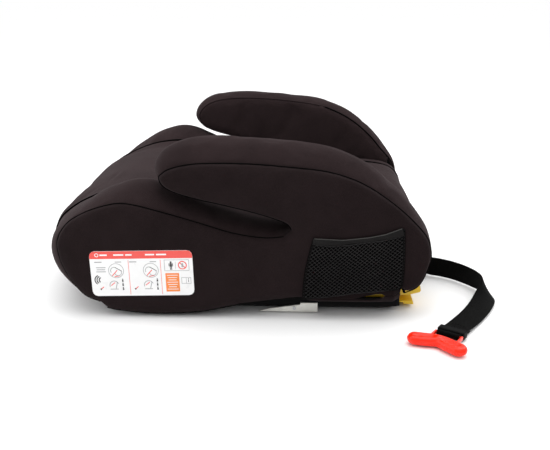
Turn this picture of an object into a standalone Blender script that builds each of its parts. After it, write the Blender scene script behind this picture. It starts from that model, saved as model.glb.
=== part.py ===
"""Backless booster seat with retractable lower-anchor connectors.

Units are metres.  +X is the occupant's left, -Y is the front, +Z is up.  The origin is on the
floor, under the middle of the seat.  Every physical piece is one object.
"""
import math

import bmesh
import bpy
from mathutils import Matrix, Vector

# ---------------------------------------------------------------- driving dimensions
GAP = 0.0003                # clearance left between touching pieces
RUN_FIT = 0.0001            # radial clearance of a pin in its bore
COVER = 0.0025              # thickness of the laminated fabric
SEAM_X = 0.125              # seam between the middle panel and a thigh bolster
CREST_X = 0.160             # crest of a thigh bolster
EDGE_X = 0.200              # where the top covers meet the side covers
DISH_X = 0.100              # half width of the flat middle of the seat
MIDDLE_STATIONS = (DISH_X, 0.1125, SEAM_X)
BOLSTER_STATIONS = (0.1425, CREST_X, 0.180)
SIDE_THICK = 0.0077         # padded side cover
ARM_IN = 0.1505             # inner face of an armrest
ARM_CREST_X = 0.170         # crest line of an armrest
SLOT_END = 0.064            # closed end of the lap belt slot
FOAM_TOP = 0.018            # foam under the seat's top
FOAM_FACE = 0.003           # foam on the front and rear faces
SHELL = 0.003               # wall of the moulded shell
SHELL_X = 0.1967            # its half width
SHELL_PLAY = 0.0028         # from the underside of the cover's foam to the shell

TRAY_X = 0.186
TRAY_FRONT = -0.1425
TRAY_REAR = 0.1935
TRAY_BOTTOM = 0.003
TRAY_FLOOR = 0.0055         # upper face of the tray's floor
TRAY_TOP = 0.028
TRAY_WALL = 0.003
TRAY_SLOPE = 0.009          # how far the sloping lower edge runs in under the tray

ANCHOR_X = 0.140            # half of the 280 mm spacing of the lower anchors
HOUSING_IN = 0.020          # housing inboard of the anchor's centre
HOUSING_OUT = 0.028         # and outboard of it
HOUSING_TOP = 0.0268
HOOK_PIVOT = (0.184, 0.0215)
HOOK_HALF = 0.0025
PIN_RADIUS = 0.0016

PAWL_PIVOT = (0.078, 0.030)
PAWL_PIN = 0.0021           # radius of the pawl's pin
RACK_TOP = 0.0175
RACK_NOTCH = 0.0917         # front edge of the rearmost notch, under the pawl's tooth at rest

STRAP_WIDTH = 0.025
STRAP_THICK = 0.0016

# Profiles of the seat in the side view, (y, z), from the front hem over the top to the rear hem.
MIDDLE_PATH = [
    (-0.146, 0.016), (-0.180, 0.022), (-0.209, 0.042), (-0.220, 0.066), (-0.211, 0.090),
    (-0.189, 0.1065), (-0.163, 0.117), (-0.140, 0.1220), (-0.118, 0.124), (-0.100, 0.124),
    (-0.082, 0.1235), (-0.060, 0.122), (-0.028, 0.119), (0.003, 0.116), (0.035, 0.113),
    (0.058, 0.111), (0.070, 0.1098), (0.100, 0.107), (0.150, 0.103), (0.190, 0.099),
    (0.211, 0.090), (0.220, 0.075), (0.2175, 0.060), (0.211, 0.045), (0.203, 0.036),
    (0.190, 0.031)]
CREST_PATH = [
    (-0.146, 0.016), (-0.174, 0.022), (-0.197, 0.042), (-0.205, 0.066), (-0.199, 0.088),
    (-0.181, 0.107), (-0.160, 0.121), (-0.139, 0.1345), (-0.120, 0.142), (-0.1035, 0.1455),
    (-0.085, 0.1435), (-0.064, 0.135), (-0.030, 0.119), (0.003, 0.107), (0.035, 0.0995),
    (0.058, 0.0972), (0.070, 0.0980), (0.100, 0.1020), (0.150, 0.103), (0.190, 0.099),
    (0.211, 0.090), (0.220, 0.075), (0.2175, 0.060), (0.211, 0.045), (0.203, 0.036),
    (0.190, 0.031)]
EDGE_PATH = [
    (-0.146, 0.016), (-0.163, 0.024), (-0.178, 0.044), (-0.187, 0.066), (-0.188, 0.088),
    (-0.176, 0.107), (-0.157, 0.119), (-0.138, 0.126), (-0.119, 0.130), (-0.101, 0.128),
    (-0.080, 0.1225), (-0.060, 0.117), (-0.030, 0.108), (0.003, 0.098), (0.035, 0.0930),
    (0.058, 0.0945), (0.070, 0.0980), (0.100, 0.1020), (0.150, 0.103), (0.190, 0.099),
    (0.211, 0.090), (0.220, 0.075), (0.2175, 0.060), (0.211, 0.045), (0.203, 0.036),
    (0.190, 0.031)]
TOP_FROM = 5                # first path point whose foam is full thickness
TOP_TO = 19                 # last one
SIDE_FROM = 4               # EDGE_PATH points that the side cover follows up to the slot
SIDE_TO = 16

# Armrest, from the closed end of the slot along the underside, round the nose, over the top
# and down the rear edge: (y, z, fall of the outer seam below the crest).
ARM_PATH = [
    (0.0665, 0.102, 0.0), (0.060, 0.1095, 0.0), (0.035, 0.1185, 0.0), (0.000, 0.1275, 0.0),
    (-0.035, 0.1355, 0.0), (-0.058, 0.1415, 0.001), (-0.074, 0.148, 0.004),
    (-0.0825, 0.160, 0.010), (-0.078, 0.175, 0.015), (-0.064, 0.187, 0.019),
    (-0.042, 0.194, 0.021), (-0.012, 0.1965, 0.022), (0.025, 0.1955, 0.0215),
    (0.065, 0.192, 0.021), (0.105, 0.1855, 0.019), (0.136, 0.1735, 0.016),
    (0.157, 0.161, 0.014), (0.175, 0.1465, 0.012), (0.191, 0.130, 0.009),
    (0.205, 0.111, 0.005), (0.2155, 0.094, 0.003), (0.220, 0.075, 0.003),
    (0.2175, 0.060, 0.003), (0.211, 0.045, 0.002), (0.203, 0.036, 0.001), (0.190, 0.031, 0.0)]
ARM_INNER_FALL = 0.007
ARM_REAR_POINT = 21         # armrest path point level with the shell's rear shoulder
SEAT_REAR_POINT = 21        # the seat path point at the same place

# Hem of a side cover, (y, z), from the rear to the front and up to the front edge.
HEM_PATH = [
    (0.187, 0.0375), (0.166, 0.0345), (0.145, 0.0315), (0.110, 0.0275), (0.077, 0.0245),
    (0.030, 0.0185), (0.003, 0.0136), (-0.026, 0.0070), (-0.050, 0.0040), (-0.085, 0.0030),
    (-0.115, 0.0050), (-0.138, 0.0090), (-0.151, 0.0170), (-0.162, 0.0300), (-0.174, 0.0450),
    (-0.1835, 0.0640), (-0.1865, 0.0850)]

# Centre line of the free webbing, from its stitched inner end to the clip: (x, y, z, roll).
# Roll 0 is flat, roll 90 stands on its edge.
STRAP_ROUTE = [
    (0.0460, 0.1790, 0.0160, 0), (0.0460, 0.1965, 0.0160, 0), (0.0500, 0.2080, 0.0158, 25),
    (0.0590, 0.2220, 0.0150, 62), (0.0700, 0.2365, 0.0140, 80), (0.0760, 0.2500, 0.0138, 82),
    (0.0855, 0.2640, 0.0138, 82), (0.1000, 0.2770, 0.0138, 82), (0.1180, 0.2880, 0.0138, 78),
    (0.1340, 0.2940, 0.0135, 66), (0.1480, 0.2930, 0.0110, 44), (0.1640, 0.2860, 0.0075, 22),
    (0.1820, 0.2765, 0.0055, 12), (0.2010, 0.2650, 0.0048, 9), (0.2180, 0.2535, 0.0046, 8),
    (0.2340, 0.2425, 0.0052, 7), (0.2500, 0.2320, 0.0064, 6)]
STRAP_RUN = (0.8350, -0.5500)       # direction of the webbing where it meets the clip
KEEPER_AT = (0.2440, 0.2359, 0.0059)
CLIP_HINGE = (0.2520, 0.2307, 0.0066)
CLIP_LINE = [(0.0070, -0.0440), (0.0105, -0.0280), (0.0145, -0.0130), (0.0280, -0.0005),
             (0.0400, 0.0095)]
CLIP_HALF = 0.0084                  # half width of a lobe
CLIP_RISE = 0.0060                  # half height of a lobe

BLACK_PLASTIC = (0.018, 0.018, 0.019, 1.0)
FABRIC = (0.026, 0.021, 0.022, 1.0)
YELLOW = (0.72, 0.46, 0.010, 1.0)
RED = (0.80, 0.035, 0.010, 1.0)
ZINC = (0.62, 0.61, 0.57, 1.0)
STEEL = (0.52, 0.53, 0.55, 1.0)
FOAM = (0.40, 0.39, 0.37, 1.0)
RUBBER = (0.03, 0.03, 0.03, 1.0)
WHITE = (0.86, 0.86, 0.85, 1.0)
WEBBING = (0.012, 0.012, 0.013, 1.0)


# ---------------------------------------------------------------- helpers
def clear_scene():
    for old in list(bpy.data.objects):
        bpy.data.objects.remove(old, do_unlink=True)


def material(name, colour, roughness, metallic=0.0):
    known = bpy.data.materials.get(name)
    if known:
        return known
    made = bpy.data.materials.new(name)
    made.use_nodes = True
    shader = made.node_tree.nodes["Principled BSDF"]
    shader.inputs["Base Color"].default_value = colour
    shader.inputs["Roughness"].default_value = roughness
    shader.inputs["Metallic"].default_value = metallic
    return made


def add_object(name, bm, finish=None, smooth=None):
    """Close a bmesh into a named object, faces pointing out."""
    bmesh.ops.remove_doubles(bm, verts=bm.verts, dist=0.00001)
    bmesh.ops.recalc_face_normals(bm, faces=bm.faces)
    mesh = bpy.data.meshes.new(name)
    bm.to_mesh(mesh)
    bm.free()
    if smooth:
        mesh.shade_smooth()
        mesh.set_sharp_from_angle(angle=math.radians(smooth))
    made = bpy.data.objects.new(name, mesh)
    bpy.context.collection.objects.link(made)
    if finish:
        mesh.materials.append(finish)
    return made


def catmull(points, pieces=2):
    """Points of a smooth curve through the given ones."""
    count = len(points)
    out = []
    for i in range(count - 1):
        p1, p2 = Vector(points[i]), Vector(points[i + 1])
        p0 = Vector(points[i - 1]) if i else 2 * p1 - p2
        p3 = Vector(points[i + 2]) if i + 2 < count else 2 * p2 - p1
        for k in range(pieces):
            t = k / pieces
            out.append(0.5 * (2 * p1 + (p2 - p0) * t + (2 * p0 - 5 * p1 + 4 * p2 - p3) * t ** 2
                              + (3 * p1 - p0 - 3 * p2 + p3) * t ** 3))
    out.append(Vector(points[-1]))
    return out


def prism(outline, axis, low, high):
    """A straight prism: outline in the plane across the axis, extruded from low to high."""
    bm = bmesh.new()

    def place(a, b, along):
        return {"X": (along, a, b), "Y": (a, along, b), "Z": (a, b, along)}[axis]

    bottom = [bm.verts.new(place(p[0], p[1], low)) for p in outline]
    top = [bm.verts.new(place(p[0], p[1], high)) for p in outline]
    bm.faces.new(bottom)
    bm.faces.new(top)
    for i in range(len(outline)):
        j = (i + 1) % len(outline)
        bm.faces.new((bottom[i], bottom[j], top[j], top[i]))
    return bm


def block(name, x, y, z, finish=None, bevel=0.0, segments=2):
    """A box between the given limits, with its edges rounded."""
    bm = prism([(x[0], y[0]), (x[1], y[0]), (x[1], y[1]), (x[0], y[1])], "Z", z[0], z[1])
    if bevel:
        bmesh.ops.bevel(bm, geom=bm.edges, offset=bevel, segments=segments, profile=0.5,
                        affect="EDGES", clamp_overlap=True)
    return add_object(name, bm, finish, 40)


def plate(name, outline, axis, low, high, finish=None):
    """A flat piece: the outline drawn out along an axis."""
    return add_object(name, prism(outline, axis, low, high), finish, 40)


def cylinder(name, centre, radius, length, axis="Z", finish=None, sides=20):
    bm = bmesh.new()
    bmesh.ops.create_cone(bm, cap_ends=True, segments=sides, radius1=radius, radius2=radius,
                          depth=length)
    turn = {"X": Matrix.Rotation(math.pi / 2, 4, "Y"), "Y": Matrix.Rotation(-math.pi / 2, 4, "X"),
            "Z": Matrix.Identity(4)}[axis]
    bmesh.ops.transform(bm, matrix=Matrix.Translation(centre) @ turn, verts=bm.verts)
    return add_object(name, bm, finish, 40)


def combine(target, tool, how="DIFFERENCE"):
    """Apply a Boolean to target and delete the tool."""
    step = target.modifiers.new("cut", "BOOLEAN")
    step.operation = how
    step.solver = "EXACT"
    step.object = tool
    graph = bpy.context.evaluated_depsgraph_get()
    graph.update()
    result = bpy.data.meshes.new_from_object(target.evaluated_get(graph))
    target.modifiers.clear()
    target.data = result
    bpy.data.objects.remove(tool, do_unlink=True)


def move_origin(obj, point):
    """Put the object's origin on its joint's axis without moving its shape."""
    obj.data.transform(Matrix.Translation(-Vector(point)))
    obj.location = point


def coil(name, centre, axis_length, radius, wire, turns, finish, axis="Y"):
    """A compression spring: a helical wire, closed at both ends."""
    bm = bmesh.new()
    per_turn = 10
    sides = 6
    count = turns * per_turn + 1
    rings = []
    for i in range(count):
        angle = 2 * math.pi * i / per_turn
        along = axis_length * (i / (count - 1) - 0.5)
        ring = []
        for k in range(sides):
            tilt = 2 * math.pi * k / sides
            out = radius + wire * math.cos(tilt)
            spot = Vector((out * math.cos(angle), along + wire * math.sin(tilt),
                           out * math.sin(angle)))
            if axis == "X":
                spot = Vector((spot.y, spot.x, spot.z))
            ring.append(bm.verts.new(spot + Vector(centre)))
        rings.append(ring)
    for low, high in zip(rings, rings[1:]):
        for k in range(sides):
            m = (k + 1) % sides
            bm.faces.new((low[k], low[m], high[m], high[k]))
    bm.faces.new(rings[0])
    bm.faces.new(rings[-1])
    return add_object(name, bm, finish, 60)


def grid_band(name, outer, inner, finish=None):
    """Close the space between two grids of points, rows by columns, into one solid."""
    bm = bmesh.new()
    rows, cols = len(outer), len(outer[0])
    top = [[bm.verts.new(p) for p in row] for row in outer]
    low = [[bm.verts.new(p) for p in row] for row in inner]
    for i in range(rows - 1):
        for j in range(cols - 1):
            bm.faces.new((top[i][j], top[i][j + 1], top[i + 1][j + 1], top[i + 1][j]))
            bm.faces.new((low[i][j], low[i + 1][j], low[i + 1][j + 1], low[i][j + 1]))
    for i in range(rows - 1):
        for j in (0, cols - 1):
            bm.faces.new((top[i][j], top[i + 1][j], low[i + 1][j], low[i][j]))
    for j in range(cols - 1):
        for i in (0, rows - 1):
            bm.faces.new((top[i][j], top[i][j + 1], low[i][j + 1], low[i][j]))
    return add_object(name, bm, finish, 50)


def loft(name, sections, finish=None):
    """Skin closed sections of equal point count and cap both ends."""
    bm = bmesh.new()
    rings = [[bm.verts.new(p) for p in ring] for ring in sections]
    for low, high in zip(rings, rings[1:]):
        for k in range(len(low)):
            m = (k + 1) % len(low)
            bm.faces.new((low[k], low[m], high[m], high[k]))
    bm.faces.new(rings[0])
    bm.faces.new(rings[-1])
    return add_object(name, bm, finish, 50)


# ---------------------------------------------------------------- the seat's surface
def blend(low, high, t):
    return low + (high - low) * t


def smoothstep(t):
    t = min(1.0, max(0.0, t))
    return t * t * (3 - 2 * t)


def seat_point(i, x):
    """Point i of the seat's profile at distance x from the middle, as (y, z)."""
    across = abs(x)
    if across <= CREST_X:
        t = smoothstep((across - DISH_X) / (CREST_X - DISH_X))
        low, high = MIDDLE_PATH[i], CREST_PATH[i]
    else:
        t = ((across - CREST_X) / (EDGE_X - CREST_X)) ** 2
        low, high = CREST_PATH[i], EDGE_PATH[i]
    return Vector((blend(low[0], high[0], t), blend(low[1], high[1], t)))


def inward(path, depths):
    """Offset a side-view path towards the inside of the body by the given depths."""
    out = []
    last = len(path) - 1
    for i, spot in enumerate(path):
        run = (path[min(i + 1, last)] - path[max(i - 1, 0)]).normalized()
        out.append(spot - Vector((-run.y, run.x)) * depths[i])
    return out


def seat_row(x, depths, first=0, last=None):
    """The seat's profile at x, offset inwards, as 3-D points."""
    count = len(MIDDLE_PATH)
    path = [seat_point(i, x) for i in range(count)]
    shifted = inward(path, depths)
    last = count if last is None else last
    return [Vector((x, p.x, p.y)) for p in shifted[first:last]]


def foam_depth(i):
    """Foam thickness at path point i: full on the top, thin on the front and rear faces."""
    if i < TOP_FROM:
        return blend(FOAM_FACE, FOAM_TOP, smoothstep(i / TOP_FROM - 0.4))
    if i <= TOP_TO:
        return FOAM_TOP
    return blend(FOAM_TOP, FOAM_FACE, smoothstep((i - TOP_TO) / 2))


def flat_depths(value):
    return [value] * len(MIDDLE_PATH)


def seat_band(name, stations, outer_depths, inner_depths, finish):
    """A layer of the seat.  stations(i) lists the x values across it at path point i."""
    outer, inner = [], []
    count = len(MIDDLE_PATH)
    for depths, grid in ((outer_depths, outer), (inner_depths, inner)):
        for i in range(count):
            row = []
            for x in stations(i):
                path = [seat_point(k, x) for k in range(count)]
                spot = inward(path, depths)[i]
                row.append(Vector((x, spot.x, spot.y)))
            grid.append(row)
    return grid_band(name, outer, inner, finish)


def bolster_stations(side):
    """Across a thigh bolster: out to the side cover, but only to the armrest behind the slot."""
    def stations(i):
        if CREST_PATH[i][0] < SLOT_END:
            across = [SEAM_X + GAP] + list(BOLSTER_STATIONS) + [EDGE_X]
        else:
            steps = len(BOLSTER_STATIONS) + 1
            across = [blend(SEAM_X + GAP, ARM_IN - GAP, k / steps) for k in range(steps + 1)]
        return [side * x for x in across]
    return stations


def middle_stations(i):
    return [-x for x in reversed(MIDDLE_STATIONS)] + list(MIDDLE_STATIONS)


# ---------------------------------------------------------------- the armrests' surface
def arm_path():
    return [Vector((p[0], p[1])) for p in ARM_PATH]


def arm_row(x, depth, first=0, last=None):
    """The armrest's outline at x, domed across its width and offset inwards by depth."""
    falls = []
    for p in ARM_PATH:
        if x >= ARM_CREST_X:
            falls.append(depth + p[2] * ((x - ARM_CREST_X) / (EDGE_X - ARM_CREST_X)) ** 2)
        else:
            share = (ARM_CREST_X - x) / (ARM_CREST_X - ARM_IN)
            falls.append(depth + min(ARM_INNER_FALL, p[2]) * share ** 2)
    return inward(arm_path(), falls)[first:last]


def side_outline():
    """Outline of a side cover in the side view, with the armrest and the belt slot."""
    rim = arm_row(EDGE_X, 0.0)
    arm = [(p.x, p.y) for p in rim]
    top = EDGE_PATH[SIDE_FROM:SIDE_TO]
    return top + arm[:-1] + HEM_PATH


# ---------------------------------------------------------------- covers and foam
def build_covers(fabric, foam):
    outer = flat_depths(0.0)
    under = flat_depths(COVER)
    foam_out = flat_depths(COVER + GAP)
    foam_in = [COVER + GAP + foam_depth(i) for i in range(len(MIDDLE_PATH))]
    seat_band("seat_cover", middle_stations, outer, under, fabric)
    seat_band("seat_foam", middle_stations, foam_out, foam_in, foam)
    for side, hand in ((1, "left"), (-1, "right")):
        stations = bolster_stations(side)
        seat_band("bolster_cover_" + hand, stations, outer, under, fabric)
        seat_band("bolster_foam_" + hand, stations, foam_out, foam_in, foam)


def build_side(side, hand, fabric, mesh, elastic):
    """Side cover with its armrest face, mesh pocket and the pocket's elastic band."""
    face = EDGE_X + GAP
    low, high = sorted((side * face, side * (face + SIDE_THICK)))
    plate("side_cover_" + hand, side_outline(), "X", low, high, fabric)
    skin = face + SIDE_THICK + GAP
    pocket = [(0.0820, 0.0290), (0.1100, 0.0310), (0.1450, 0.0350), (0.1660, 0.0378),
              (0.1850, 0.0405), (0.1860, 0.0650), (0.1835, 0.0990), (0.1660, 0.0940),
              (0.1500, 0.0905), (0.1215, 0.0870), (0.0900, 0.0880), (0.0855, 0.0700),
              (0.0835, 0.0500)]
    low, high = sorted((side * skin, side * (skin + 0.002)))
    plate("mesh_pocket_" + hand, pocket, "X", low, high, mesh)
    upper = catmull([(0.0900, 0.0955), (0.1215, 0.0945), (0.1500, 0.0980), (0.1660, 0.1015),
                     (0.1820, 0.1080)], 2)
    lower = [(0.1835, 0.0995), (0.1660, 0.0945), (0.1500, 0.0910), (0.1215, 0.0875),
             (0.0900, 0.0885)]
    band = [(p[0], p[1]) for p in upper] + lower
    low, high = sorted((side * skin, side * (skin + 0.003)))
    plate("pocket_elastic_" + hand, band, "X", low, high, elastic)


def build_label(paper):
    """Instruction label on the left side cover, a rounded rectangle."""
    skin = EDGE_X + GAP + SIDE_THICK + GAP
    half_y, half_z, corner = 0.056, 0.026, 0.006
    centre = (-0.0955, 0.0535)
    tilt = math.radians(1.5)
    outline = []
    for k, (sy, sz) in enumerate(((1, -1), (1, 1), (-1, 1), (-1, -1))):
        for step in range(4):
            angle = math.radians(-90 + 90 * k + 30 * step)
            y = sy * (half_y - corner) + corner * math.cos(angle)
            z = sz * (half_z - corner) + corner * math.sin(angle)
            outline.append((centre[0] + y * math.cos(tilt) - z * math.sin(tilt),
                            centre[1] + y * math.sin(tilt) + z * math.cos(tilt)))
    plate("instruction_label", outline, "X", skin, skin + 0.0006, paper)


def build_armrest(side, hand, plastic, fabric):
    """Armrest core, the cover strip round its edge and its inner cover."""
    columns = (ARM_IN + 0.003, 0.160, ARM_CREST_X, 0.185, EDGE_X)
    outer, inner = [], []
    for depth, store in ((0.0, outer), (COVER, inner)):
        strips = [arm_row(x, depth) for x in columns]
        for i in range(len(ARM_PATH)):
            row = []
            for x, strip in zip(columns, strips):
                row.append(Vector((side * x, strip[i].x, strip[i].y)))
            store.append(row)
    grid_band("arm_edge_cover_" + hand, outer, inner, fabric)

    seat_depths = [COVER + GAP + foam_depth(i) for i in range(len(MIDDLE_PATH))]
    seat_rest = inward([Vector(p) for p in CREST_PATH], seat_depths)
    root = []
    for i in range(SEAT_REAR_POINT, 0, -1):
        if CREST_PATH[i][0] > SLOT_END + 0.010:
            root.append(seat_rest[i] + Vector((0, GAP)))
    sections = []
    for x in (ARM_IN + 0.003 + GAP, 0.160, ARM_CREST_X, 0.185, EDGE_X - GAP):
        ring = arm_row(x, COVER + GAP, 0, ARM_REAR_POINT + 1) + root
        sections.append([Vector((side * x, p.x, p.y)) for p in ring])
    loft("arm_core_" + hand, sections, plastic)

    top = arm_row(ARM_IN, 0.0, 0, ARM_REAR_POINT - 1)
    foot = []
    for i in range(SEAT_REAR_POINT - 1, 0, -1):
        if CREST_PATH[i][0] > SLOT_END + 0.010:
            foot.append(seat_rest[i] + Vector((0, GAP)))
    low, high = sorted((side * ARM_IN, side * (ARM_IN + 0.003 - GAP)))
    plate("arm_inner_cover_" + hand, [(p.x, p.y) for p in top + foot], "X", low, high, fabric)


# ---------------------------------------------------------------- shell and tray
SCREW_SPOTS = [(side * 0.095, y) for side in (-1, 1) for y in (-0.110, 0.130)]


def deck_height(x, y, depths):
    """Height of the shell's upper face at (x, y), read along the profile between its points."""
    row = seat_row(x, depths, TOP_FROM, TOP_TO + 1)
    for a, b in zip(row, row[1:]):
        if a.y <= y <= b.y:
            return blend(a.z, b.z, (y - a.y) / (b.y - a.y))
    return row[-1].z


def build_shell(plastic):
    """Moulded shell: a thin skin under the foam, open below, with four screw posts."""
    half = list(MIDDLE_STATIONS) + list(BOLSTER_STATIONS) + [SHELL_X]
    stations = [-x for x in reversed(half)] + half
    depths = [COVER + SHELL_PLAY + foam_depth(i) for i in range(len(MIDDLE_PATH))]
    skin = loft("seat_shell", [seat_row(x, depths) for x in stations], plastic)
    deeper = [d + SHELL for d in depths]
    hollow = []
    for x in stations:
        x_in = max(SHELL - SHELL_X, min(SHELL_X - SHELL, x))
        row = seat_row(x_in, deeper)
        row = row + [Vector((x_in, row[-1].y, 0.0)), Vector((x_in, row[0].y, 0.0))]
        hollow.append(row)
    cavity = loft("cavity", hollow)
    combine(skin, cavity)
    for x, y in SCREW_SPOTS:
        low, high = TRAY_FLOOR + 0.0010, deck_height(x, y, depths) - SHELL / 2
        post = cylinder("post", (x, y, (low + high) / 2), 0.0065, high - low, sides=16)
        combine(skin, post, "UNION")
        bore = cylinder("bore", (x, y, 0.0150), 0.0023, 0.0300, sides=12)
        combine(skin, bore)
    return skin


def rounded_rect(half_x, y0, y1, corner, steps=4):
    """Outline of a rectangle with round corners, in plan."""
    outline = []
    middle = (y0 + y1) / 2
    half_y = (y1 - y0) / 2
    for k, (sx, sy) in enumerate(((1, -1), (1, 1), (-1, 1), (-1, -1))):
        for step in range(steps + 1):
            angle = math.radians(-90 + 90 * k + 90 * step / steps)
            outline.append((sx * (half_x - corner) + corner * math.cos(angle),
                            middle + sy * (half_y - corner) + corner * math.sin(angle)))
    return outline


def basin(name, levels, corner, finish=None):
    """Loft through the tray's plan outline, set in by each (inset, height) of levels."""
    rings = []
    for inset, z in levels:
        outline = rounded_rect(TRAY_X - inset, TRAY_FRONT + inset, TRAY_REAR - inset, corner)
        rings.append([(x, y, z) for x, y in outline])
    return loft(name, rings, finish)


def build_tray(plastic):
    """Bottom tray with its rim, connector openings, windows and strap slot."""
    tray = basin("bottom_tray", [(TRAY_SLOPE, TRAY_BOTTOM), (0.0, 0.0085), (0.0, TRAY_TOP)],
                 0.014, plastic)
    combine(tray, basin("inside", [(TRAY_SLOPE + 0.0025, TRAY_FLOOR), (TRAY_WALL, 0.0100),
                                   (TRAY_WALL, TRAY_TOP + 0.01)], 0.011))
    for side in (-1, 1):
        span = sorted((side * 0.1165, side * (TRAY_X - TRAY_WALL)))
        combine(tray, block("door", span, (0.1700, 0.2100), (TRAY_FLOOR, TRAY_TOP + 0.01)))
        span = sorted((side * 0.1750, side * 0.2000))
        combine(tray, block("window", span, (0.1300, 0.1720), (0.0185, TRAY_TOP + 0.01)))
    combine(tray, block("handle_slot", (-0.0120, 0.0120), (-0.1600, -0.1300), (TRAY_FLOOR, 0.0110)))
    combine(tray, block("strap_slot", (0.0310, 0.0610), (0.1850, 0.2000), (0.0130, 0.0190)))
    for x, y in SCREW_SPOTS:
        combine(tray, cylinder("hole", (x, y, 0.0040), 0.0023, 0.0100, sides=12))
    return tray


def build_fixings(steel, rubber):
    for n, (x, y) in enumerate(SCREW_SPOTS):
        screw = cylinder("tray_screw_%d" % (n + 1), (x, y, 0.0017), 0.0045, 0.0018, finish=steel,
                         sides=16)
        combine(screw, cylinder("shank", (x, y, 0.0115), 0.0020, 0.0190, sides=12), "UNION")
    spots = [(side * 0.150, y) for side in (-1, 1) for y in (-0.105, 0.150)]
    for n, (x, y) in enumerate(spots):
        foot = cylinder("rubber_foot_%d" % (n + 1), (x, y, 0.00135), 0.0110, 0.0027,
                        finish=rubber, sides=24)
        foot.data.shade_flat()


# ---------------------------------------------------------------- connectors
HOUSING_OUTLINE = [
    (0.1270, 0.0062), (0.1945, 0.0062), (0.1945, 0.0040), (0.2060, 0.0036), (0.2050, 0.0078),
    (0.1905, 0.0078), (0.1890, 0.0098), (0.1890, 0.0130), (0.1905, 0.0150), (0.2000, 0.0152),
    (0.2120, 0.0185), (0.2135, 0.0205), (0.2125, 0.0258), (0.2095, HOUSING_TOP),
    (0.1270, HOUSING_TOP)]
HOOK_OUTLINE = [
    (0.0120, 0.0020), (0.0200, -0.0020), (0.0228, -0.0080), (0.0226, -0.0128),
    (0.0190, -0.0135), (0.0162, -0.0105), (0.0120, -0.0055), (0.0060, -0.0048)]


def build_connector(side, hand, yellow, steel, zinc):
    """One lower-anchor connector: rail, arm, housing, hook, pin, spring and slider."""
    def span(a, b):
        return tuple(sorted((side * a, side * b)))

    rail = block("guide_rail_" + hand, span(0.1170, 0.1630), (-0.020, 0.120),
                 (TRAY_FLOOR + GAP, 0.0262), zinc)
    combine(rail, block("way", span(0.1190, 0.1610), (-0.030, 0.130), (0.0078, 0.0300)))
    combine(rail, block("bar_way", span(0.1150, 0.1195), (-0.030, 0.070), (0.0095, 0.0300)))

    arm = block("connector_arm_" + hand, span(0.1215, 0.1585), (-0.048, 0.1267),
                (0.0083, 0.0237), steel, 0.0008, 1)
    combine(arm, block("lightening", span(0.1300, 0.1500), (-0.010, 0.105), (0.0000, 0.0400)))

    low, high = span(ANCHOR_X - HOUSING_IN, ANCHOR_X + HOUSING_OUT)
    housing = plate("connector_housing_" + hand, HOUSING_OUTLINE, "X", low, high, yellow)
    combine(housing, block("hook_way", span(ANCHOR_X - 0.0035, ANCHOR_X + 0.0035),
                           (0.1760, 0.2200), (0.0140, 0.0400)))
    combine(housing, block("spring_way", span(ANCHOR_X - 0.0048, ANCHOR_X + 0.0048),
                           (0.1350, 0.1770), (0.0160, 0.0400)))
    combine(housing, cylinder("pin_bore", (side * ANCHOR_X,) + HOOK_PIVOT, PIN_RADIUS + RUN_FIT,
                              0.030, "X", sides=12))

    boss = []
    for k in range(9):
        angle = math.radians(250 - 160 / 8 * k)
        boss.append((0.0050 * math.cos(angle), 0.0050 * math.sin(angle)))
    outline = [(HOOK_PIVOT[0] + y, HOOK_PIVOT[1] + z) for y, z in boss + HOOK_OUTLINE]
    low, high = span(ANCHOR_X - HOOK_HALF, ANCHOR_X + HOOK_HALF)
    hook = plate("latch_hook_" + hand, outline, "X", low, high, steel)
    combine(hook, cylinder("eye", (side * ANCHOR_X,) + HOOK_PIVOT, PIN_RADIUS + RUN_FIT, 0.02,
                           "X", sides=12))
    move_origin(hook, (side * ANCHOR_X,) + HOOK_PIVOT)
    cylinder("hook_pin_" + hand, (side * ANCHOR_X,) + HOOK_PIVOT, PIN_RADIUS, 0.0290, "X", steel,
             12)
    coil("hook_spring_" + hand, (side * ANCHOR_X, 0.1570, 0.0212), 0.0380, 0.0034, 0.0005, 5,
         steel)

    slider = block("release_slider_" + hand, span(ANCHOR_X + HOUSING_OUT + GAP, 0.1825),
                   (0.1400, 0.1680), (0.0165, 0.0250), yellow, 0.0030, 2)
    move_origin(slider, (side * 0.1754, 0.1540, 0.02075))

    bracket = [(0.0300, 0.0016), (0.0960, 0.0016), (0.0960, 0.0122), (0.0770, 0.0122),
               (0.0765, 0.0100), (0.0420, 0.0050)]
    low, high = span(TRAY_X + GAP, TRAY_X + 0.0025)
    plate("rail_bracket_" + hand, bracket, "X", low, high, zinc)
    cylinder("bracket_rivet_" + hand, (side * (TRAY_X + 0.0036), 0.0700, 0.0062), 0.0018,
             0.0016, "X", steel, 12)


def build_carriage(steel, zinc):
    """Cross bar and toothed rack that tie both connector arms together."""
    low = -(ANCHOR_X - 0.0188)
    block("cross_bar", (low, -low), (-0.045, -0.027), (0.0100, 0.0220), steel, 0.0008, 1)
    rack = block("lock_rack", (-0.009, 0.009), (-0.0267, 0.0990), (0.0100, RACK_TOP), zinc)
    for k in range(8):
        y = RACK_NOTCH - 0.010 * k
        combine(rack, block("notch", (-0.012, 0.012), (y, y + 0.005), (0.0145, 0.03)))


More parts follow.
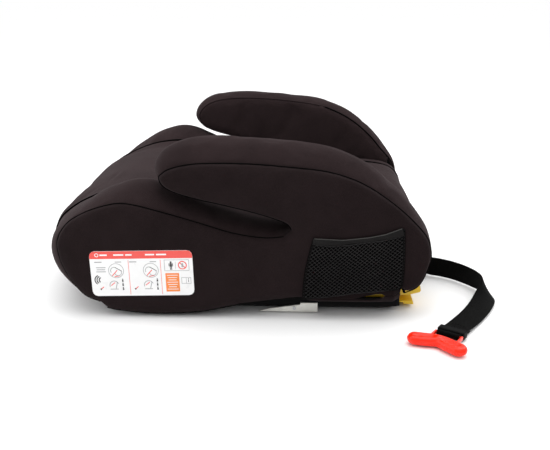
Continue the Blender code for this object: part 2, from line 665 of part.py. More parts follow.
def build_lock(steel, plastic, zinc):
    """Pawl above the rack, its bracket, pin and spring, and the front handle with its rod."""
    y, z = PAWL_PIVOT
    cheeks = block("pawl_bracket", (-0.0175, 0.0175), (0.068, 0.090), (TRAY_FLOOR + GAP, 0.0370),
                   zinc)
    combine(cheeks, block("gap", (-0.0150, 0.0150), (0.060, 0.100), (0.0080, 0.0500)))
    combine(cheeks, cylinder("bore", (0, y, z), PAWL_PIN + RUN_FIT, 0.060, "X", sides=12))
    outline = []
    for k in range(7):
        angle = math.radians(180 + 30 * k)
        outline.append((y + 0.0050 * math.cos(angle), z + 0.0050 * math.sin(angle)))
    outline = outline[:5] + [(0.0900, 0.0235), (0.0920, 0.0183), (0.0965, 0.0183),
                             (0.0975, 0.0290), (0.0850, 0.0345), (0.0802, 0.0360),
                             (0.0802, 0.0465), (0.0758, 0.0465), (0.0745, 0.0345)]
    pawl = plate("lock_pawl", outline, "X", -0.0040, 0.0040, steel)
    combine(pawl, cylinder("eye", (0, y, z), PAWL_PIN + RUN_FIT, 0.03, "X", sides=12))
    move_origin(pawl, (0, y, z))
    cylinder("pawl_pin", (0, y, z), PAWL_PIN, 0.0390, "X", steel, 12)
    coil("pawl_spring", (0.0095, y, z), 0.0080, 0.0036, 0.0005, 4, steel, "X")

    rod = block("pull_rod", (-0.0070, 0.0070), (-0.1247, 0.0890), (0.0420, 0.0445), steel)
    combine(rod, block("window", (-0.0047, 0.0047), (0.0725, 0.0845), (0.03, 0.06)))
    handle = block("adjust_handle", (-0.0420, 0.0420), (-0.1680, -0.1560), (0.0035, 0.0125),
                   plastic, 0.0030, 3)
    combine(handle, block("stem", (-0.0100, 0.0100), (-0.1600, -0.1250), (0.0062, 0.0100)),
            "UNION")
    combine(handle, block("riser", (-0.0100, 0.0100), (-0.1300, -0.1250), (0.0062, 0.0445)),
            "UNION")
    move_origin(handle, (0, -0.162, 0.008))


# ---------------------------------------------------------------- strap and clip
def build_strap(webbing, plastic, steel, red):
    block("strap_anchor", (0.0300, 0.0620), (0.1600, 0.1785), (TRAY_FLOOR + GAP, 0.0200), steel,
          0.0010, 1)
    bezel = block("strap_bezel", (0.0280, 0.0640), (TRAY_REAR + GAP, TRAY_REAR + 0.0028),
                  (0.0090, 0.0230), plastic, 0.0006, 1)
    combine(bezel, block("mouth", (0.0310, 0.0610), (0.1900, 0.2000), (0.0130, 0.0190)))

    route = catmull([Vector(p) for p in [r[:3] + (r[3] / 1000,) for r in STRAP_ROUTE]], 3)
    spots = [Vector(p[:3]) for p in route]
    outer, inner = [], []
    for i, p in enumerate(route):
        run = (spots[min(i + 1, len(spots) - 1)] - spots[max(i - 1, 0)]).normalized()
        flat = run.cross(Vector((0, 0, 1))).normalized()
        up = flat.cross(run)
        roll = math.radians(p[3] * 1000)
        wide = flat * math.cos(roll) + up * math.sin(roll)
        thick = run.cross(wide).normalized() * STRAP_THICK / 2
        edges = [spots[i] - wide * STRAP_WIDTH / 2, spots[i], spots[i] + wide * STRAP_WIDTH / 2]
        outer.append([e + thick for e in edges])
        inner.append([e - thick for e in edges])
    grid_band("belt_strap", outer, inner, webbing)

    run = Vector((STRAP_RUN[0], STRAP_RUN[1], 0)).normalized()
    turn = math.atan2(run.y, run.x)
    keeper = block("strap_keeper", (-0.0045, 0.0045), (-0.0150, 0.0150), (-0.0042, 0.0042),
                   plastic, 0.0010, 1)
    combine(keeper, block("way", (-0.0100, 0.0100), (-0.0134, 0.0134), (-0.0028, 0.0028)))
    keeper.data.transform(Matrix.Translation(KEEPER_AT) @ Matrix.Rotation(turn, 4, "Z"))

    hinge = Vector(CLIP_HINGE)
    line = catmull([Vector(p) for p in CLIP_LINE], 3)
    ends = len(line) - 1
    rings = []
    for i, p in enumerate(line):
        ahead = line[min(i + 1, ends)] - line[max(i - 1, 0)]
        across = Vector((ahead.y, -ahead.x, 0)).normalized()
        full = min(1.0, 0.5 + 0.35 * min(i, ends - i))
        ring = []
        for k in range(14):
            angle = 2 * math.pi * k / 14
            ring.append(hinge + Vector((p.x, p.y, 0)) + across * CLIP_HALF * full * math.cos(angle)
                        + Vector((0, 0, CLIP_RISE * full * math.sin(angle))))
        rings.append(ring)
    clip = loft("belt_clip", rings, red)
    seat = Matrix.Translation(CLIP_HINGE) @ Matrix.Rotation(turn, 4, "Z")
    for side in (-1, 1):
        span = sorted((side * 0.0136, side * 0.0164))
        ear = block("ear", (-0.0026, 0.0200), span, (-0.0030, 0.0030), bevel=0.0008, segments=1)
        ear.data.transform(seat)
        combine(clip, ear, "UNION")
    bar = cylinder("bar", (0, 0, 0), 0.0016, 0.0285, "Y", sides=12)
    bar.data.transform(seat)
    combine(clip, bar, "UNION")
    move_origin(clip, CLIP_HINGE)


def build():
    clear_scene()
    fabric = material("black_fabric", FABRIC, 0.85)
    foam = material("seat_foam", FOAM, 0.95)
    mesh = material("mesh_fabric", FABRIC, 0.90)
    elastic = material("elastic_band", FABRIC, 0.75)
    plastic = material("black_plastic", BLACK_PLASTIC, 0.45)
    yellow = material("yellow_plastic", YELLOW, 0.40)
    red = material("red_plastic", RED, 0.20)
    steel = material("steel", STEEL, 0.35, 1.0)
    zinc = material("zinc_plate", ZINC, 0.45, 0.8)
    rubber = material("rubber", RUBBER, 0.80)
    paper = material("label_film", WHITE, 0.35)
    webbing = material("webbing", WEBBING, 0.55)
    build_covers(fabric, foam)
    for side, hand in ((1, "left"), (-1, "right")):
        build_side(side, hand, fabric, mesh, elastic)
        build_armrest(side, hand, plastic, fabric)
        build_connector(side, hand, yellow, steel, zinc)
    build_label(paper)
    build_shell(plastic)
    build_tray(plastic)
    build_fixings(steel, rubber)
    build_carriage(steel, zinc)
    build_lock(steel, plastic, zinc)
    build_strap(webbing, plastic, steel, red)


build()
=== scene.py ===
"""Backless booster seat: the visual model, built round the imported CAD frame.

Metres, the CAD's frame: +X is the occupant's left, -Y the front, +Z up.
"""
import math
from contextlib import contextmanager

import bmesh
import bpy
import numpy as np
from mathutils import Euler, Matrix, Vector
from mathutils.geometry import delaunay_2d_cdt


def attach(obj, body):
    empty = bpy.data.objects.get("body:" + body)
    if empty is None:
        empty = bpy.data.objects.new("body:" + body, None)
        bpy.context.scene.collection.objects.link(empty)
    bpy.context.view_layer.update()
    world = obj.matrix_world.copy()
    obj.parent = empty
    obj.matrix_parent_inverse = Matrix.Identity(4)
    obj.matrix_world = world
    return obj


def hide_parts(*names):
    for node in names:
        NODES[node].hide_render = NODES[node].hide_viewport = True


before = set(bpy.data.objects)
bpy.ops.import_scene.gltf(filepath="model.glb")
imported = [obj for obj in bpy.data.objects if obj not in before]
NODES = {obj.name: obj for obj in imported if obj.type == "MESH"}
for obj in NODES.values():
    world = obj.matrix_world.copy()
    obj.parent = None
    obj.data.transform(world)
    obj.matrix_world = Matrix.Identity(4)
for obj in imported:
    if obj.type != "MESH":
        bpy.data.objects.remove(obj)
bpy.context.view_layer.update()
BODY = "seat_body"

# ---------------------------------------------------------------- dimensions shared with the CAD
SEAM_X = 0.125  # seam between the centre panel and a bolster
CREST_X = 0.160  # a bolster's crest
EDGE_X = 0.200  # seam at the side panel
DISH_X = 0.100  # the seat is level out to here
ARM_IN = 0.1505  # an armrest's inner face
ARM_CREST_X = 0.170
ARM_INNER_FALL = 0.007
SIDE_FACE = 0.2080  # the side panel's outer face
SLOT_ROW = 15  # the point of the paths below where the belt slot ends
FINE = 5  # curve pieces between two points of a path

# the seat's side-view profiles (y, z) at the middle, the bolster's crest and the side seam
REAR_PATH = [(0.150, 0.103), (0.190, 0.099), (0.211, 0.090), (0.220, 0.075), (0.2175, 0.060),
             (0.211, 0.045), (0.203, 0.036), (0.190, 0.031)]
MIDDLE_PATH = [
    (-0.146, 0.016), (-0.180, 0.022), (-0.209, 0.042), (-0.220, 0.066), (-0.211, 0.090),
    (-0.189, 0.1065), (-0.163, 0.117), (-0.140, 0.1220), (-0.118, 0.124), (-0.100, 0.124),
    (-0.082, 0.1235), (-0.060, 0.122), (-0.028, 0.119), (0.003, 0.116), (0.035, 0.113),
    (0.058, 0.111), (0.070, 0.1098), (0.100, 0.107)] + REAR_PATH
CREST_PATH = [
    (-0.146, 0.016), (-0.174, 0.022), (-0.197, 0.042), (-0.205, 0.066), (-0.199, 0.088),
    (-0.181, 0.107), (-0.160, 0.121), (-0.139, 0.1345), (-0.120, 0.142), (-0.1035, 0.1455),
    (-0.085, 0.1435), (-0.064, 0.135), (-0.030, 0.119), (0.003, 0.107), (0.035, 0.0995),
    (0.058, 0.0972), (0.070, 0.0980), (0.100, 0.1020)] + REAR_PATH
EDGE_PATH = [
    (-0.146, 0.016), (-0.163, 0.024), (-0.178, 0.044), (-0.187, 0.066), (-0.188, 0.088),
    (-0.176, 0.107), (-0.157, 0.119), (-0.138, 0.126), (-0.119, 0.130), (-0.101, 0.128),
    (-0.080, 0.1225), (-0.060, 0.117), (-0.030, 0.108), (0.003, 0.098), (0.035, 0.0930),
    (0.058, 0.0945), (0.070, 0.0980), (0.100, 0.1020)] + REAR_PATH
ARM_PATH = [
    (0.0665, 0.102, 0.0), (0.060, 0.1095, 0.0), (0.035, 0.1185, 0.0), (0.000, 0.1275, 0.0),
    (-0.035, 0.1355, 0.0), (-0.058, 0.1415, 0.001), (-0.074, 0.148, 0.004),
    (-0.0825, 0.160, 0.010), (-0.078, 0.175, 0.015), (-0.064, 0.187, 0.019),
    (-0.042, 0.194, 0.021), (-0.012, 0.1965, 0.022), (0.025, 0.1955, 0.0215),
    (0.065, 0.192, 0.021), (0.105, 0.1855, 0.019), (0.136, 0.1735, 0.016),
    (0.157, 0.161, 0.014), (0.175, 0.1465, 0.012), (0.191, 0.130, 0.009),
    (0.205, 0.111, 0.005), (0.2155, 0.094, 0.003), (0.220, 0.075, 0.003),
    (0.2175, 0.060, 0.003), (0.211, 0.045, 0.002), (0.203, 0.036, 0.001), (0.190, 0.031, 0.0)]
HEM_PATH = [
    (0.187, 0.0375), (0.166, 0.0345), (0.145, 0.0315), (0.110, 0.0275), (0.077, 0.0245),
    (0.030, 0.0185), (0.003, 0.0136), (-0.026, 0.0070), (-0.050, 0.0040), (-0.085, 0.0030),
    (-0.115, 0.0050), (-0.138, 0.0090), (-0.151, 0.0170), (-0.162, 0.0300), (-0.174, 0.0450),
    (-0.1835, 0.0640), (-0.1865, 0.0850)]
STRAP_WIDTH = 0.025
# x, y, z and roll in degrees
STRAP_ROUTE = [
    (0.0460, 0.1790, 0.0160, 0), (0.0460, 0.1965, 0.0160, 0), (0.0500, 0.2080, 0.0158, 25),
    (0.0590, 0.2220, 0.0150, 62), (0.0700, 0.2365, 0.0140, 80), (0.0760, 0.2500, 0.0138, 82),
    (0.0855, 0.2640, 0.0138, 82), (0.1000, 0.2770, 0.0138, 82), (0.1180, 0.2880, 0.0138, 78),
    (0.1340, 0.2940, 0.0135, 66), (0.1480, 0.2930, 0.0110, 44), (0.1640, 0.2860, 0.0075, 22),
    (0.1820, 0.2765, 0.0055, 12), (0.2010, 0.2650, 0.0048, 9), (0.2180, 0.2535, 0.0050, 6),
    (0.2340, 0.2425, 0.0060, 3), (0.2500, 0.2320, 0.0078, 0)]
STRAP_RUN = (0.8350, -0.5500)
CLIP_HINGE = (0.2520, 0.2307, 0.0066)
CLIP_LINE = [(0.0070, -0.0440), (0.0105, -0.0280), (0.0145, -0.0130), (0.0280, -0.0005),
             (0.0400, 0.0095)]
CLIP_HALF = 0.0084
CLIP_RISE = 0.0060

# ---------------------------------------------------------------- cloth and light
CLOTH = 0.0016  # a padded panel's cloth with its backing
HEM_FRONT = -0.140  # the side panel is hemmed behind this y
ARM_SEAM_FROM = 0.104  # the armrest's inner seam shows behind this y
HOOK_ROOM = 0.0012  # how far the cover sits in where the hooks swing past
HORIZON = 0.30
ZENITH = 1.50
IMAGE_WIDTH = 550.0
FOCAL_PIXELS = 764.07
SENSOR = 36.0
FLOOR_REACH = 60
FLOOR_Z = -0.0002
LAMPS = (("top_light", (0.15, 0.05, 1.50), 1.6, 11.0),
         ("front_light", (0.20, -1.50, 0.60), 1.2, 8.0),
         ("rear_light", (-0.70, 1.30, 1.10), 1.2, 8.0))


def link_object(name, data):
    obj = bpy.data.objects.new(name, data)
    bpy.context.scene.collection.objects.link(obj)
    return obj


# ---------------------------------------------------------------- shader helpers
def add(tree, kind, **values):
    """A new node. values are its input defaults or its own settings."""
    node = tree.nodes.new(kind)
    for key, value in values.items():
        if key in node.inputs:
            node.inputs[key].default_value = value
        else:
            setattr(node, key, value)
    return node


def fill(shader, values):
    for key, value in values.items():
        shader.inputs[key].default_value = value


def new_material(name):
    mat = bpy.data.materials.new(name)
    mat.use_nodes = True
    return mat, mat.node_tree, mat.node_tree.nodes["Principled BSDF"]


def math_node(tree, how, a, b):
    node = add(tree, "ShaderNodeMath", operation=how)
    for socket, value in zip(node.inputs, (a, b)):
        if isinstance(value, float):
            socket.default_value = value
        else:
            tree.links.new(value, socket)
    return node.outputs[0]


def ramp(tree, source, stops):
    node = add(tree, "ShaderNodeValToRGB")
    steps = node.color_ramp.elements
    for end, (place, colour) in ((0, stops[0]), (1, stops[-1])):
        steps[end].position = place
        steps[end].color = colour
    for place, colour in stops[1:-1]:
        steps.new(place).color = colour
    tree.links.new(source, node.inputs["Fac"])
    return node.outputs["Color"]


def grey(value, tint=(1.0, 1.0, 1.0)):
    return (value * tint[0], value * tint[1], value * tint[2], 1.0)


def multiply(tree, factor, first, second):
    """Two colours multiplied, by a share."""
    node = add(tree, "ShaderNodeMix", data_type="RGBA", blend_type="MULTIPLY")
    for slot, value in ((0, factor), (6, first), (7, second)):
        if hasattr(value, "is_linked"):
            tree.links.new(value, node.inputs[slot])
        else:
            node.inputs[slot].default_value = value
    return node.outputs[2]


def stripes(tree, uv, angle, pitch, values):
    """Bands across the cloth at an angle in degrees, a pitch in metres apart."""
    turn = add(tree, "ShaderNodeMapping", Rotation=(0, 0, math.radians(angle)),
               Scale=(1 / pitch, 1 / pitch, 1))
    tree.links.new(uv, turn.inputs["Vector"])
    wave = add(tree, "ShaderNodeTexWave", Scale=0.314, **values)
    tree.links.new(turn.outputs[0], wave.inputs["Vector"])
    return wave.outputs["Fac"]


def blotches(tree, place, **values):
    node = add(tree, "ShaderNodeTexNoise", **values)
    tree.links.new(place, node.inputs["Vector"])
    return node.outputs["Fac"]


def roughen(tree, shader, height, strength, distance):
    bump = add(tree, "ShaderNodeBump", Strength=strength, Distance=distance)
    tree.links.new(height, bump.inputs["Height"])
    tree.links.new(bump.outputs[0], shader.inputs["Normal"])


# ---------------------------------------------------------------- camera, light and floor
def build_camera():
    data = bpy.data.cameras.new("camera")
    data.sensor_width = SENSOR
    data.lens = SENSOR * FOCAL_PIXELS / IMAGE_WIDTH
    data.clip_start = 0.01
    camera = link_object("camera", data)
    camera.location = (0.9761, 0.0755, 0.3599)
    camera.rotation_euler = Euler((math.radians(90 - 18.006), 0, math.radians(91.974)))
    bpy.context.scene.camera = camera
    bpy.context.scene.view_settings.view_transform = "Standard"


def build_sky():
    """White light, stronger from overhead. Seen straight on, the sky is plain white."""
    world = bpy.data.worlds.new("studio")
    bpy.context.scene.world = world
    world.use_nodes = True
    tree = world.node_tree
    link = tree.links.new
    back = tree.nodes["Background"]
    back.inputs["Color"].default_value = grey(1.0)
    split = add(tree, "ShaderNodeSeparateXYZ")
    fade = add(tree, "ShaderNodeMapRange", **{"To Min": HORIZON, "To Max": ZENITH})
    pick = add(tree, "ShaderNodeMapRange")
    link(add(tree, "ShaderNodeTexCoord").outputs["Generated"], split.inputs[0])
    link(split.outputs["Z"], fade.inputs["Value"])
    link(add(tree, "ShaderNodeLightPath").outputs["Is Camera Ray"], pick.inputs["Value"])
    link(fade.outputs[0], pick.inputs["To Min"])
    link(pick.outputs[0], back.inputs["Strength"])


def build_lamps():
    for name, place, size, power in LAMPS:
        lamp = bpy.data.lights.new(name, "AREA")
        lamp.shape = "SQUARE"
        lamp.size = size
        lamp.energy = power
        obj = link_object(name, lamp)
        obj.location = place
        aim = Vector((0, 0, 0.1)) - Vector(place)
        obj.rotation_euler = aim.to_track_quat("-Z", "Y").to_euler()


def build_floor():
    mesh = bpy.data.meshes.new("floor")
    corners = [(a * FLOOR_REACH, b * FLOOR_REACH, FLOOR_Z)
               for a, b in ((-1, -1), (1, -1), (1, 1), (-1, 1))]
    mesh.from_pydata(corners, [], [(0, 1, 2, 3)])
    pale, _, shader = new_material("floor")
    fill(shader, {"Base Color": grey(0.93), "Roughness": 0.7, "Specular IOR Level": 0.2})
    mesh.materials.append(pale)
    link_object("floor", mesh)


build_camera()
build_sky()
build_lamps()
build_floor()


# ---------------------------------------------------------------- shape helpers
def unit(v):
    return v / np.linalg.norm(v, axis=-1, keepdims=True)


def catmull(points, pieces):
    """Points of a smooth curve through the given ones, as an array."""
    p = np.array(points, float)
    p = np.vstack([2 * p[0] - p[1], p, 2 * p[-1] - p[-2]])
    t = (np.arange(pieces) / pieces)[:, None]
    out = []
    for i in range(1, len(p) - 2):
        a, b, c, d = p[i - 1:i + 3]
        out.append(0.5 * (2 * b + (c - a) * t + (2 * a - 5 * b + 4 * c - d) * t ** 2
                          + (3 * b - a - 3 * c + d) * t ** 3))
    return np.vstack(out + [p[-2][None]])


def smoothstep(t):
    t = np.clip(t, 0.0, 1.0)
    return t * t * (3 - 2 * t)


def bell(x, centre, width, power=2):
    """1 at the centre, falling to nothing past the width."""
    return np.exp(-np.abs((x - centre) / width) ** power)


def dome(gap, reach):
    """A quarter circle's rise, from 0 at the edge to 1 at the reach."""
    return np.sqrt(1 - (1 - np.clip(gap / reach, 0, 1)) ** 2)


def lengths(line):
    """Distance along a line at each of its points."""
    return np.r_[0, np.cumsum(np.linalg.norm(np.diff(line, axis=0), axis=1))]


def resample(line, step):
    """The same line with points an even step apart."""
    run = lengths(line)
    at = np.linspace(0, run[-1], max(2, int(round(run[-1] / step)) + 1))
    return np.stack([np.interp(at, run, line[:, k]) for k in range(line.shape[1])], axis=1)


def grid_normals(grid):
    n = np.cross(np.gradient(grid, axis=0), np.gradient(grid, axis=1))
    return n / np.maximum(np.linalg.norm(n, axis=2, keepdims=True), 1e-12)


def grid_lengths(grid):
    """Distance along rows and along columns of a grid, for its UV map."""
    down = np.linalg.norm(np.diff(grid, axis=0), axis=2).mean(1)
    over = np.linalg.norm(np.diff(grid, axis=1), axis=2).mean(0)
    return np.r_[0, np.cumsum(down)], np.r_[0, np.cumsum(over)]


def new_object(name, verts, faces, uvs=None):
    """A smooth mesh object. uvs is one (u, v) per vertex, in metres on the cloth."""
    mesh = bpy.data.meshes.new(name)
    mesh.from_pydata([tuple(v) for v in verts], [], faces)
    mesh.update()
    if uvs is not None:
        layer = mesh.uv_layers.new(name="cloth")
        loops = np.zeros(len(mesh.loops), np.int32)
        mesh.loops.foreach_get("vertex_index", loops)
        layer.data.foreach_set("uv", np.array(uvs, np.float32)[loops].ravel())
    mesh.shade_smooth()
    return link_object(name, mesh)


def grid_object(name, grid, closed=False, uvs=None):
    """A mesh over a grid of points. closed joins its last column to its first."""
    rows, cols = grid.shape[:2]
    if uvs is None:
        down, over = grid_lengths(grid)
        uvs = [(u, v) for u in down for v in over]
    faces = []
    for i in range(rows - 1):
        for j in range(cols if closed else cols - 1):
            k = (j + 1) % cols
            faces.append((i * cols + j, (i + 1) * cols + j, (i + 1) * cols + k, i * cols + k))
    return new_object(name, grid.reshape(-1, 3), faces, uvs)


@contextmanager
def edited(obj):
    """The object's mesh to edit, written back and smoothed at the end."""
    bm = bmesh.new()
    bm.from_mesh(obj.data)
    bm.verts.ensure_lookup_table()
    yield bm
    bm.to_mesh(obj.data)
    bm.free()
    obj.data.shade_smooth()


def orient(obj, way):
    """Turn all faces so that they look the given way on the whole."""
    with edited(obj) as bm:
        bmesh.ops.recalc_face_normals(bm, faces=bm.faces)
        total = sum((f.normal * f.calc_area() for f in bm.faces), Vector())
        if total.dot(Vector(way)) < 0:
            bmesh.ops.reverse_faces(bm, faces=bm.faces)


def close_ends(obj, count):
    """Close a tube of rings of count points at both ends."""
    with edited(obj) as bm:
        for first in (0, len(bm.verts) - count):
            bm.faces.new([bm.verts[first + k] for k in range(count)])
        bmesh.ops.recalc_face_normals(bm, faces=bm.faces)


def apply_modifiers(obj):
    graph = bpy.context.evaluated_depsgraph_get()
    graph.update()
    mesh = bpy.data.meshes.new_from_object(obj.evaluated_get(graph))
    obj.modifiers.clear()
    obj.data = mesh
    mesh.shade_smooth()


def thicken(obj, depth, levels=1):
    """Give an open cloth piece its thickness, inwards, and smooth it."""
    solid = obj.modifiers.new("thick", "SOLIDIFY")
    solid.thickness = depth
    solid.offset = -1.0
    solid.use_even_offset = False
    if levels:
        sub = obj.modifiers.new("sub", "SUBSURF")
        sub.levels = levels
        sub.render_levels = levels
    apply_modifiers(obj)


def tube(name, line, radius, sides=8):
    """A round tube along a line of 3-D points, closed at both ends."""
    line = np.array(line, float)
    run = unit(np.gradient(line, axis=0))
    side = np.cross(run, (0.0, 0.0, 1.0))
    weak = np.linalg.norm(side, axis=1) < 0.2
    side[weak] = np.cross(run[weak], (1.0, 0.0, 0.0))
    side = unit(side)
    up = np.cross(side, run)
    turn = np.linspace(0, 2 * np.pi, sides, endpoint=False)[None, :, None]
    rings = line[:, None] + radius * (side[:, None] * np.cos(turn) + up[:, None] * np.sin(turn))
    obj = grid_object(name, rings, closed=True)
    close_ends(obj, sides)
    return obj


def join(name, objects):
    """One object holding the meshes of several."""
    bm = bmesh.new()
    for obj in objects:
        bm.from_mesh(obj.data)
        bpy.data.objects.remove(obj, do_unlink=True)
    mesh = bpy.data.meshes.new(name)
    bm.to_mesh(mesh)
    bm.free()
    mesh.shade_smooth()
    return link_object(name, mesh)


def coords(mesh):
    flat = np.empty(len(mesh.vertices) * 3)
    mesh.vertices.foreach_get("co", flat)
    return flat.reshape(-1, 3)


def settle(obj, calm=None, cap=0.0016, frames=14):
    """Let a panel swell against its seams: a short cloth simulation with its edge held.

    calm is 0 to 1 at each vertex, where 1 keeps it still. cap is the most a vertex moves.
    """
    mesh = obj.data
    start = coords(mesh)
    bm = bmesh.new()
    bm.from_mesh(mesh)
    held = {v.index for v in bm.verts if v.is_boundary}
    edge = {n.index for v in bm.verts if v.index in held for e in v.link_edges for n in e.verts}
    bm.free()
    pins = obj.vertex_groups.new(name="seam")
    pins.add(sorted(edge - held), 0.7, "REPLACE")
    pins.add(sorted(held), 1.0, "REPLACE")
    cloth = obj.modifiers.new("cloth", "CLOTH")
    for key, value in (("quality", 6), ("mass", 0.02), ("air_damping", 3.0),
                       ("tension_stiffness", 12.0), ("compression_stiffness", 12.0),
                       ("shear_stiffness", 6.0), ("bending_stiffness", 0.3),
                       ("vertex_group_mass", "seam"), ("use_pressure", True),
                       ("uniform_pressure_force", 4.0), ("shrink_min", -0.010)):
        setattr(cloth.settings, key, value)
    cloth.settings.effector_weights.gravity = 0.0
    cloth.collision_settings.use_collision = False
    cloth.point_cache.frame_start = 1
    cloth.point_cache.frame_end = frames
    scene = bpy.context.scene
    for frame_number in range(1, frames + 1):
        scene.frame_set(frame_number)
    graph = bpy.context.evaluated_depsgraph_get()
    move = np.nan_to_num(coords(obj.evaluated_get(graph).data) - start)
    obj.modifiers.remove(cloth)
    obj.vertex_groups.remove(pins)
    scene.frame_set(1)
    far = np.linalg.norm(move, axis=1)
    move *= (cap * np.tanh(far / cap) / np.maximum(far, 1e-9))[:, None]
    if calm is not None:
        move *= (1 - calm)[:, None]
    mesh.vertices.foreach_set("co", (start + move).ravel())
    mesh.update()


def edge_distance(points, outline):
    """Distance of each 2-D point from a closed outline."""
    best = np.full(len(points), np.inf)
    for a, b in zip(outline, np.roll(outline, -1, axis=0)):
        d = b - a
        t = np.clip(((points - a) @ d) / max(d @ d, 1e-15), 0, 1)
        best = np.minimum(best, np.linalg.norm(points - a - t[:, None] * d, axis=1))
    return best


def inside(points, outline):
    """Which 2-D points lie inside a closed outline."""
    x, y = points[:, 0], points[:, 1]
    hit = np.zeros(len(points), bool)
    for (x0, y0), (x1, y1) in zip(outline, np.roll(outline, -1, axis=0)):
        if y0 != y1:
            hit ^= ((y0 > y) != (y1 > y)) & (x < (x1 - x0) * (y - y0) / (y1 - y0) + x0)
    return hit


def region(outline, step, rings):
    """Triangulate a closed outline finely: points in rows along its edge, then an even field."""
    outline = resample(np.vstack([outline, outline[:1]]), step)[:-1]
    ahead = np.roll(outline, -1, axis=0) - np.roll(outline, 1, axis=0)
    normal = unit(np.stack([-ahead[:, 1], ahead[:, 0]], axis=1))
    if inside(outline + normal * 0.0005, outline).mean() < 0.5:
        normal = -normal
    kept = [outline]
    for depth in rings:
        row = outline + normal * depth
        ok = inside(row, outline) & (edge_distance(row, outline) > 0.93 * depth)
        kept.append(row[ok][::1 if depth < 0.006 else 2])
    low, high = outline.min(0), outline.max(0)
    gap = step * 1.7
    xs = np.arange(low[0], high[0], gap)
    ys = np.arange(low[1], high[1], gap * 0.866)
    field = np.array([(x + (k % 2) * gap / 2, y) for k, y in enumerate(ys) for x in xs])
    field = field[inside(field, outline)]
    kept.append(field[edge_distance(field, outline) > rings[-1] + 0.6 * gap])
    loop = list(range(len(outline)))
    made = delaunay_2d_cdt([Vector(p) for p in np.vstack(kept)], [], [loop], 1, 1e-7)
    spots = np.array([tuple(v) for v in made[0]])
    return spots, [tuple(f) for f in made[2]], edge_distance(spots, outline)


def noise(points, size, seed):
    """Smooth value noise in about -1..1 at 3-D points, from a few fixed waves."""
    rng = np.random.default_rng(seed)
    total = np.zeros(points.shape[:-1])
    for _ in range(7):
        way = unit(rng.normal(size=3))
        total += np.sin(points @ way * (2 * np.pi / size) * rng.uniform(0.6, 1.5)
                        + rng.uniform(0, 6.28))
    return total / 4.0


# ---------------------------------------------------------------- materials
def cloth_material(name, dark, light, pitch, tint, sheen, rough=0.92):
    """Knitted polyester: diagonal loops from the UV map, fibre fuzz and uneven dye."""
    mat, tree, shader = new_material(name)
    uv = add(tree, "ShaderNodeUVMap", uv_map="cloth").outputs[0]
    place = add(tree, "ShaderNodeTexCoord").outputs["Object"]
    knit = {"Distortion": 0.9, "Detail": 1.0, "Detail Scale": 1.6}
    loops = math_node(tree, "MULTIPLY", stripes(tree, uv, 52.0, pitch, knit),
                      stripes(tree, uv, -52.0, pitch, knit))
    fuzz = blotches(tree, place, Scale=900.0, Detail=3.0)
    patch = blotches(tree, place, Scale=14.0, Detail=4.0, Roughness=0.6)
    yarn = ramp(tree, loops, [(0.0, grey(dark, tint)), (1.0, grey(light, tint))])
    dye = ramp(tree, patch, [(0.30, grey(0.62)), (0.50, grey(1.0)), (0.72, grey(1.30))])
    speck = ramp(tree, fuzz, [(0.35, grey(0.80)), (0.68, grey(1.25))])
    tree.links.new(multiply(tree, 0.6, multiply(tree, 0.55, yarn, dye), speck),
                   shader.inputs["Base Color"])
    height = math_node(tree, "ADD", math_node(tree, "MULTIPLY", loops, 0.8),
                       math_node(tree, "MULTIPLY", fuzz, 0.5))
    roughen(tree, shader, height, 0.55, 0.00022)
    fill(shader, {"Roughness": rough, "Sheen Weight": sheen, "Sheen Roughness": 0.45,
                  "Sheen Tint": (0.95, 0.80, 0.83, 1), "Specular IOR Level": 0.04})
    return mat


def webbing_material(name):
    """Woven seat-belt webbing: ribs along its length, fine picks across, soft shine."""
    mat, tree, shader = new_material(name)
    link = tree.links.new
    uv = add(tree, "ShaderNodeUVMap", uv_map="cloth").outputs[0]
    rib, left, right = (stripes(tree, uv, angle, pitch, {"Distortion": wobble})
                        for angle, pitch, wobble in ((90.0, 0.0016, 0.15), (28.0, 0.0011, 0.4),
                                                     (-28.0, 0.0011, 0.4)))
    height = math_node(tree, "ADD", math_node(tree, "MULTIPLY", rib, 0.6),
                       math_node(tree, "MULTIPLY", left, right))
    wear = add(tree, "ShaderNodeTexNoise", Scale=60.0, Detail=5.0).outputs["Fac"]
    base = ramp(tree, height, [(0.15, grey(0.0006)), (1.1, grey(0.0036, (1, 0.98, 0.95)))])
    worn = ramp(tree, wear, [(0.35, grey(0.75)), (0.70, grey(1.45))])
    link(multiply(tree, 0.7, base, worn), shader.inputs["Base Color"])
    link(ramp(tree, wear, [(0.3, grey(0.40)), (0.7, grey(0.56))]), shader.inputs["Roughness"])
    roughen(tree, shader, height, 0.6, 0.00025)
    fill(shader, {"Sheen Weight": 0.006, "Sheen Roughness": 0.35, "Specular IOR Level": 0.022})
    return mat


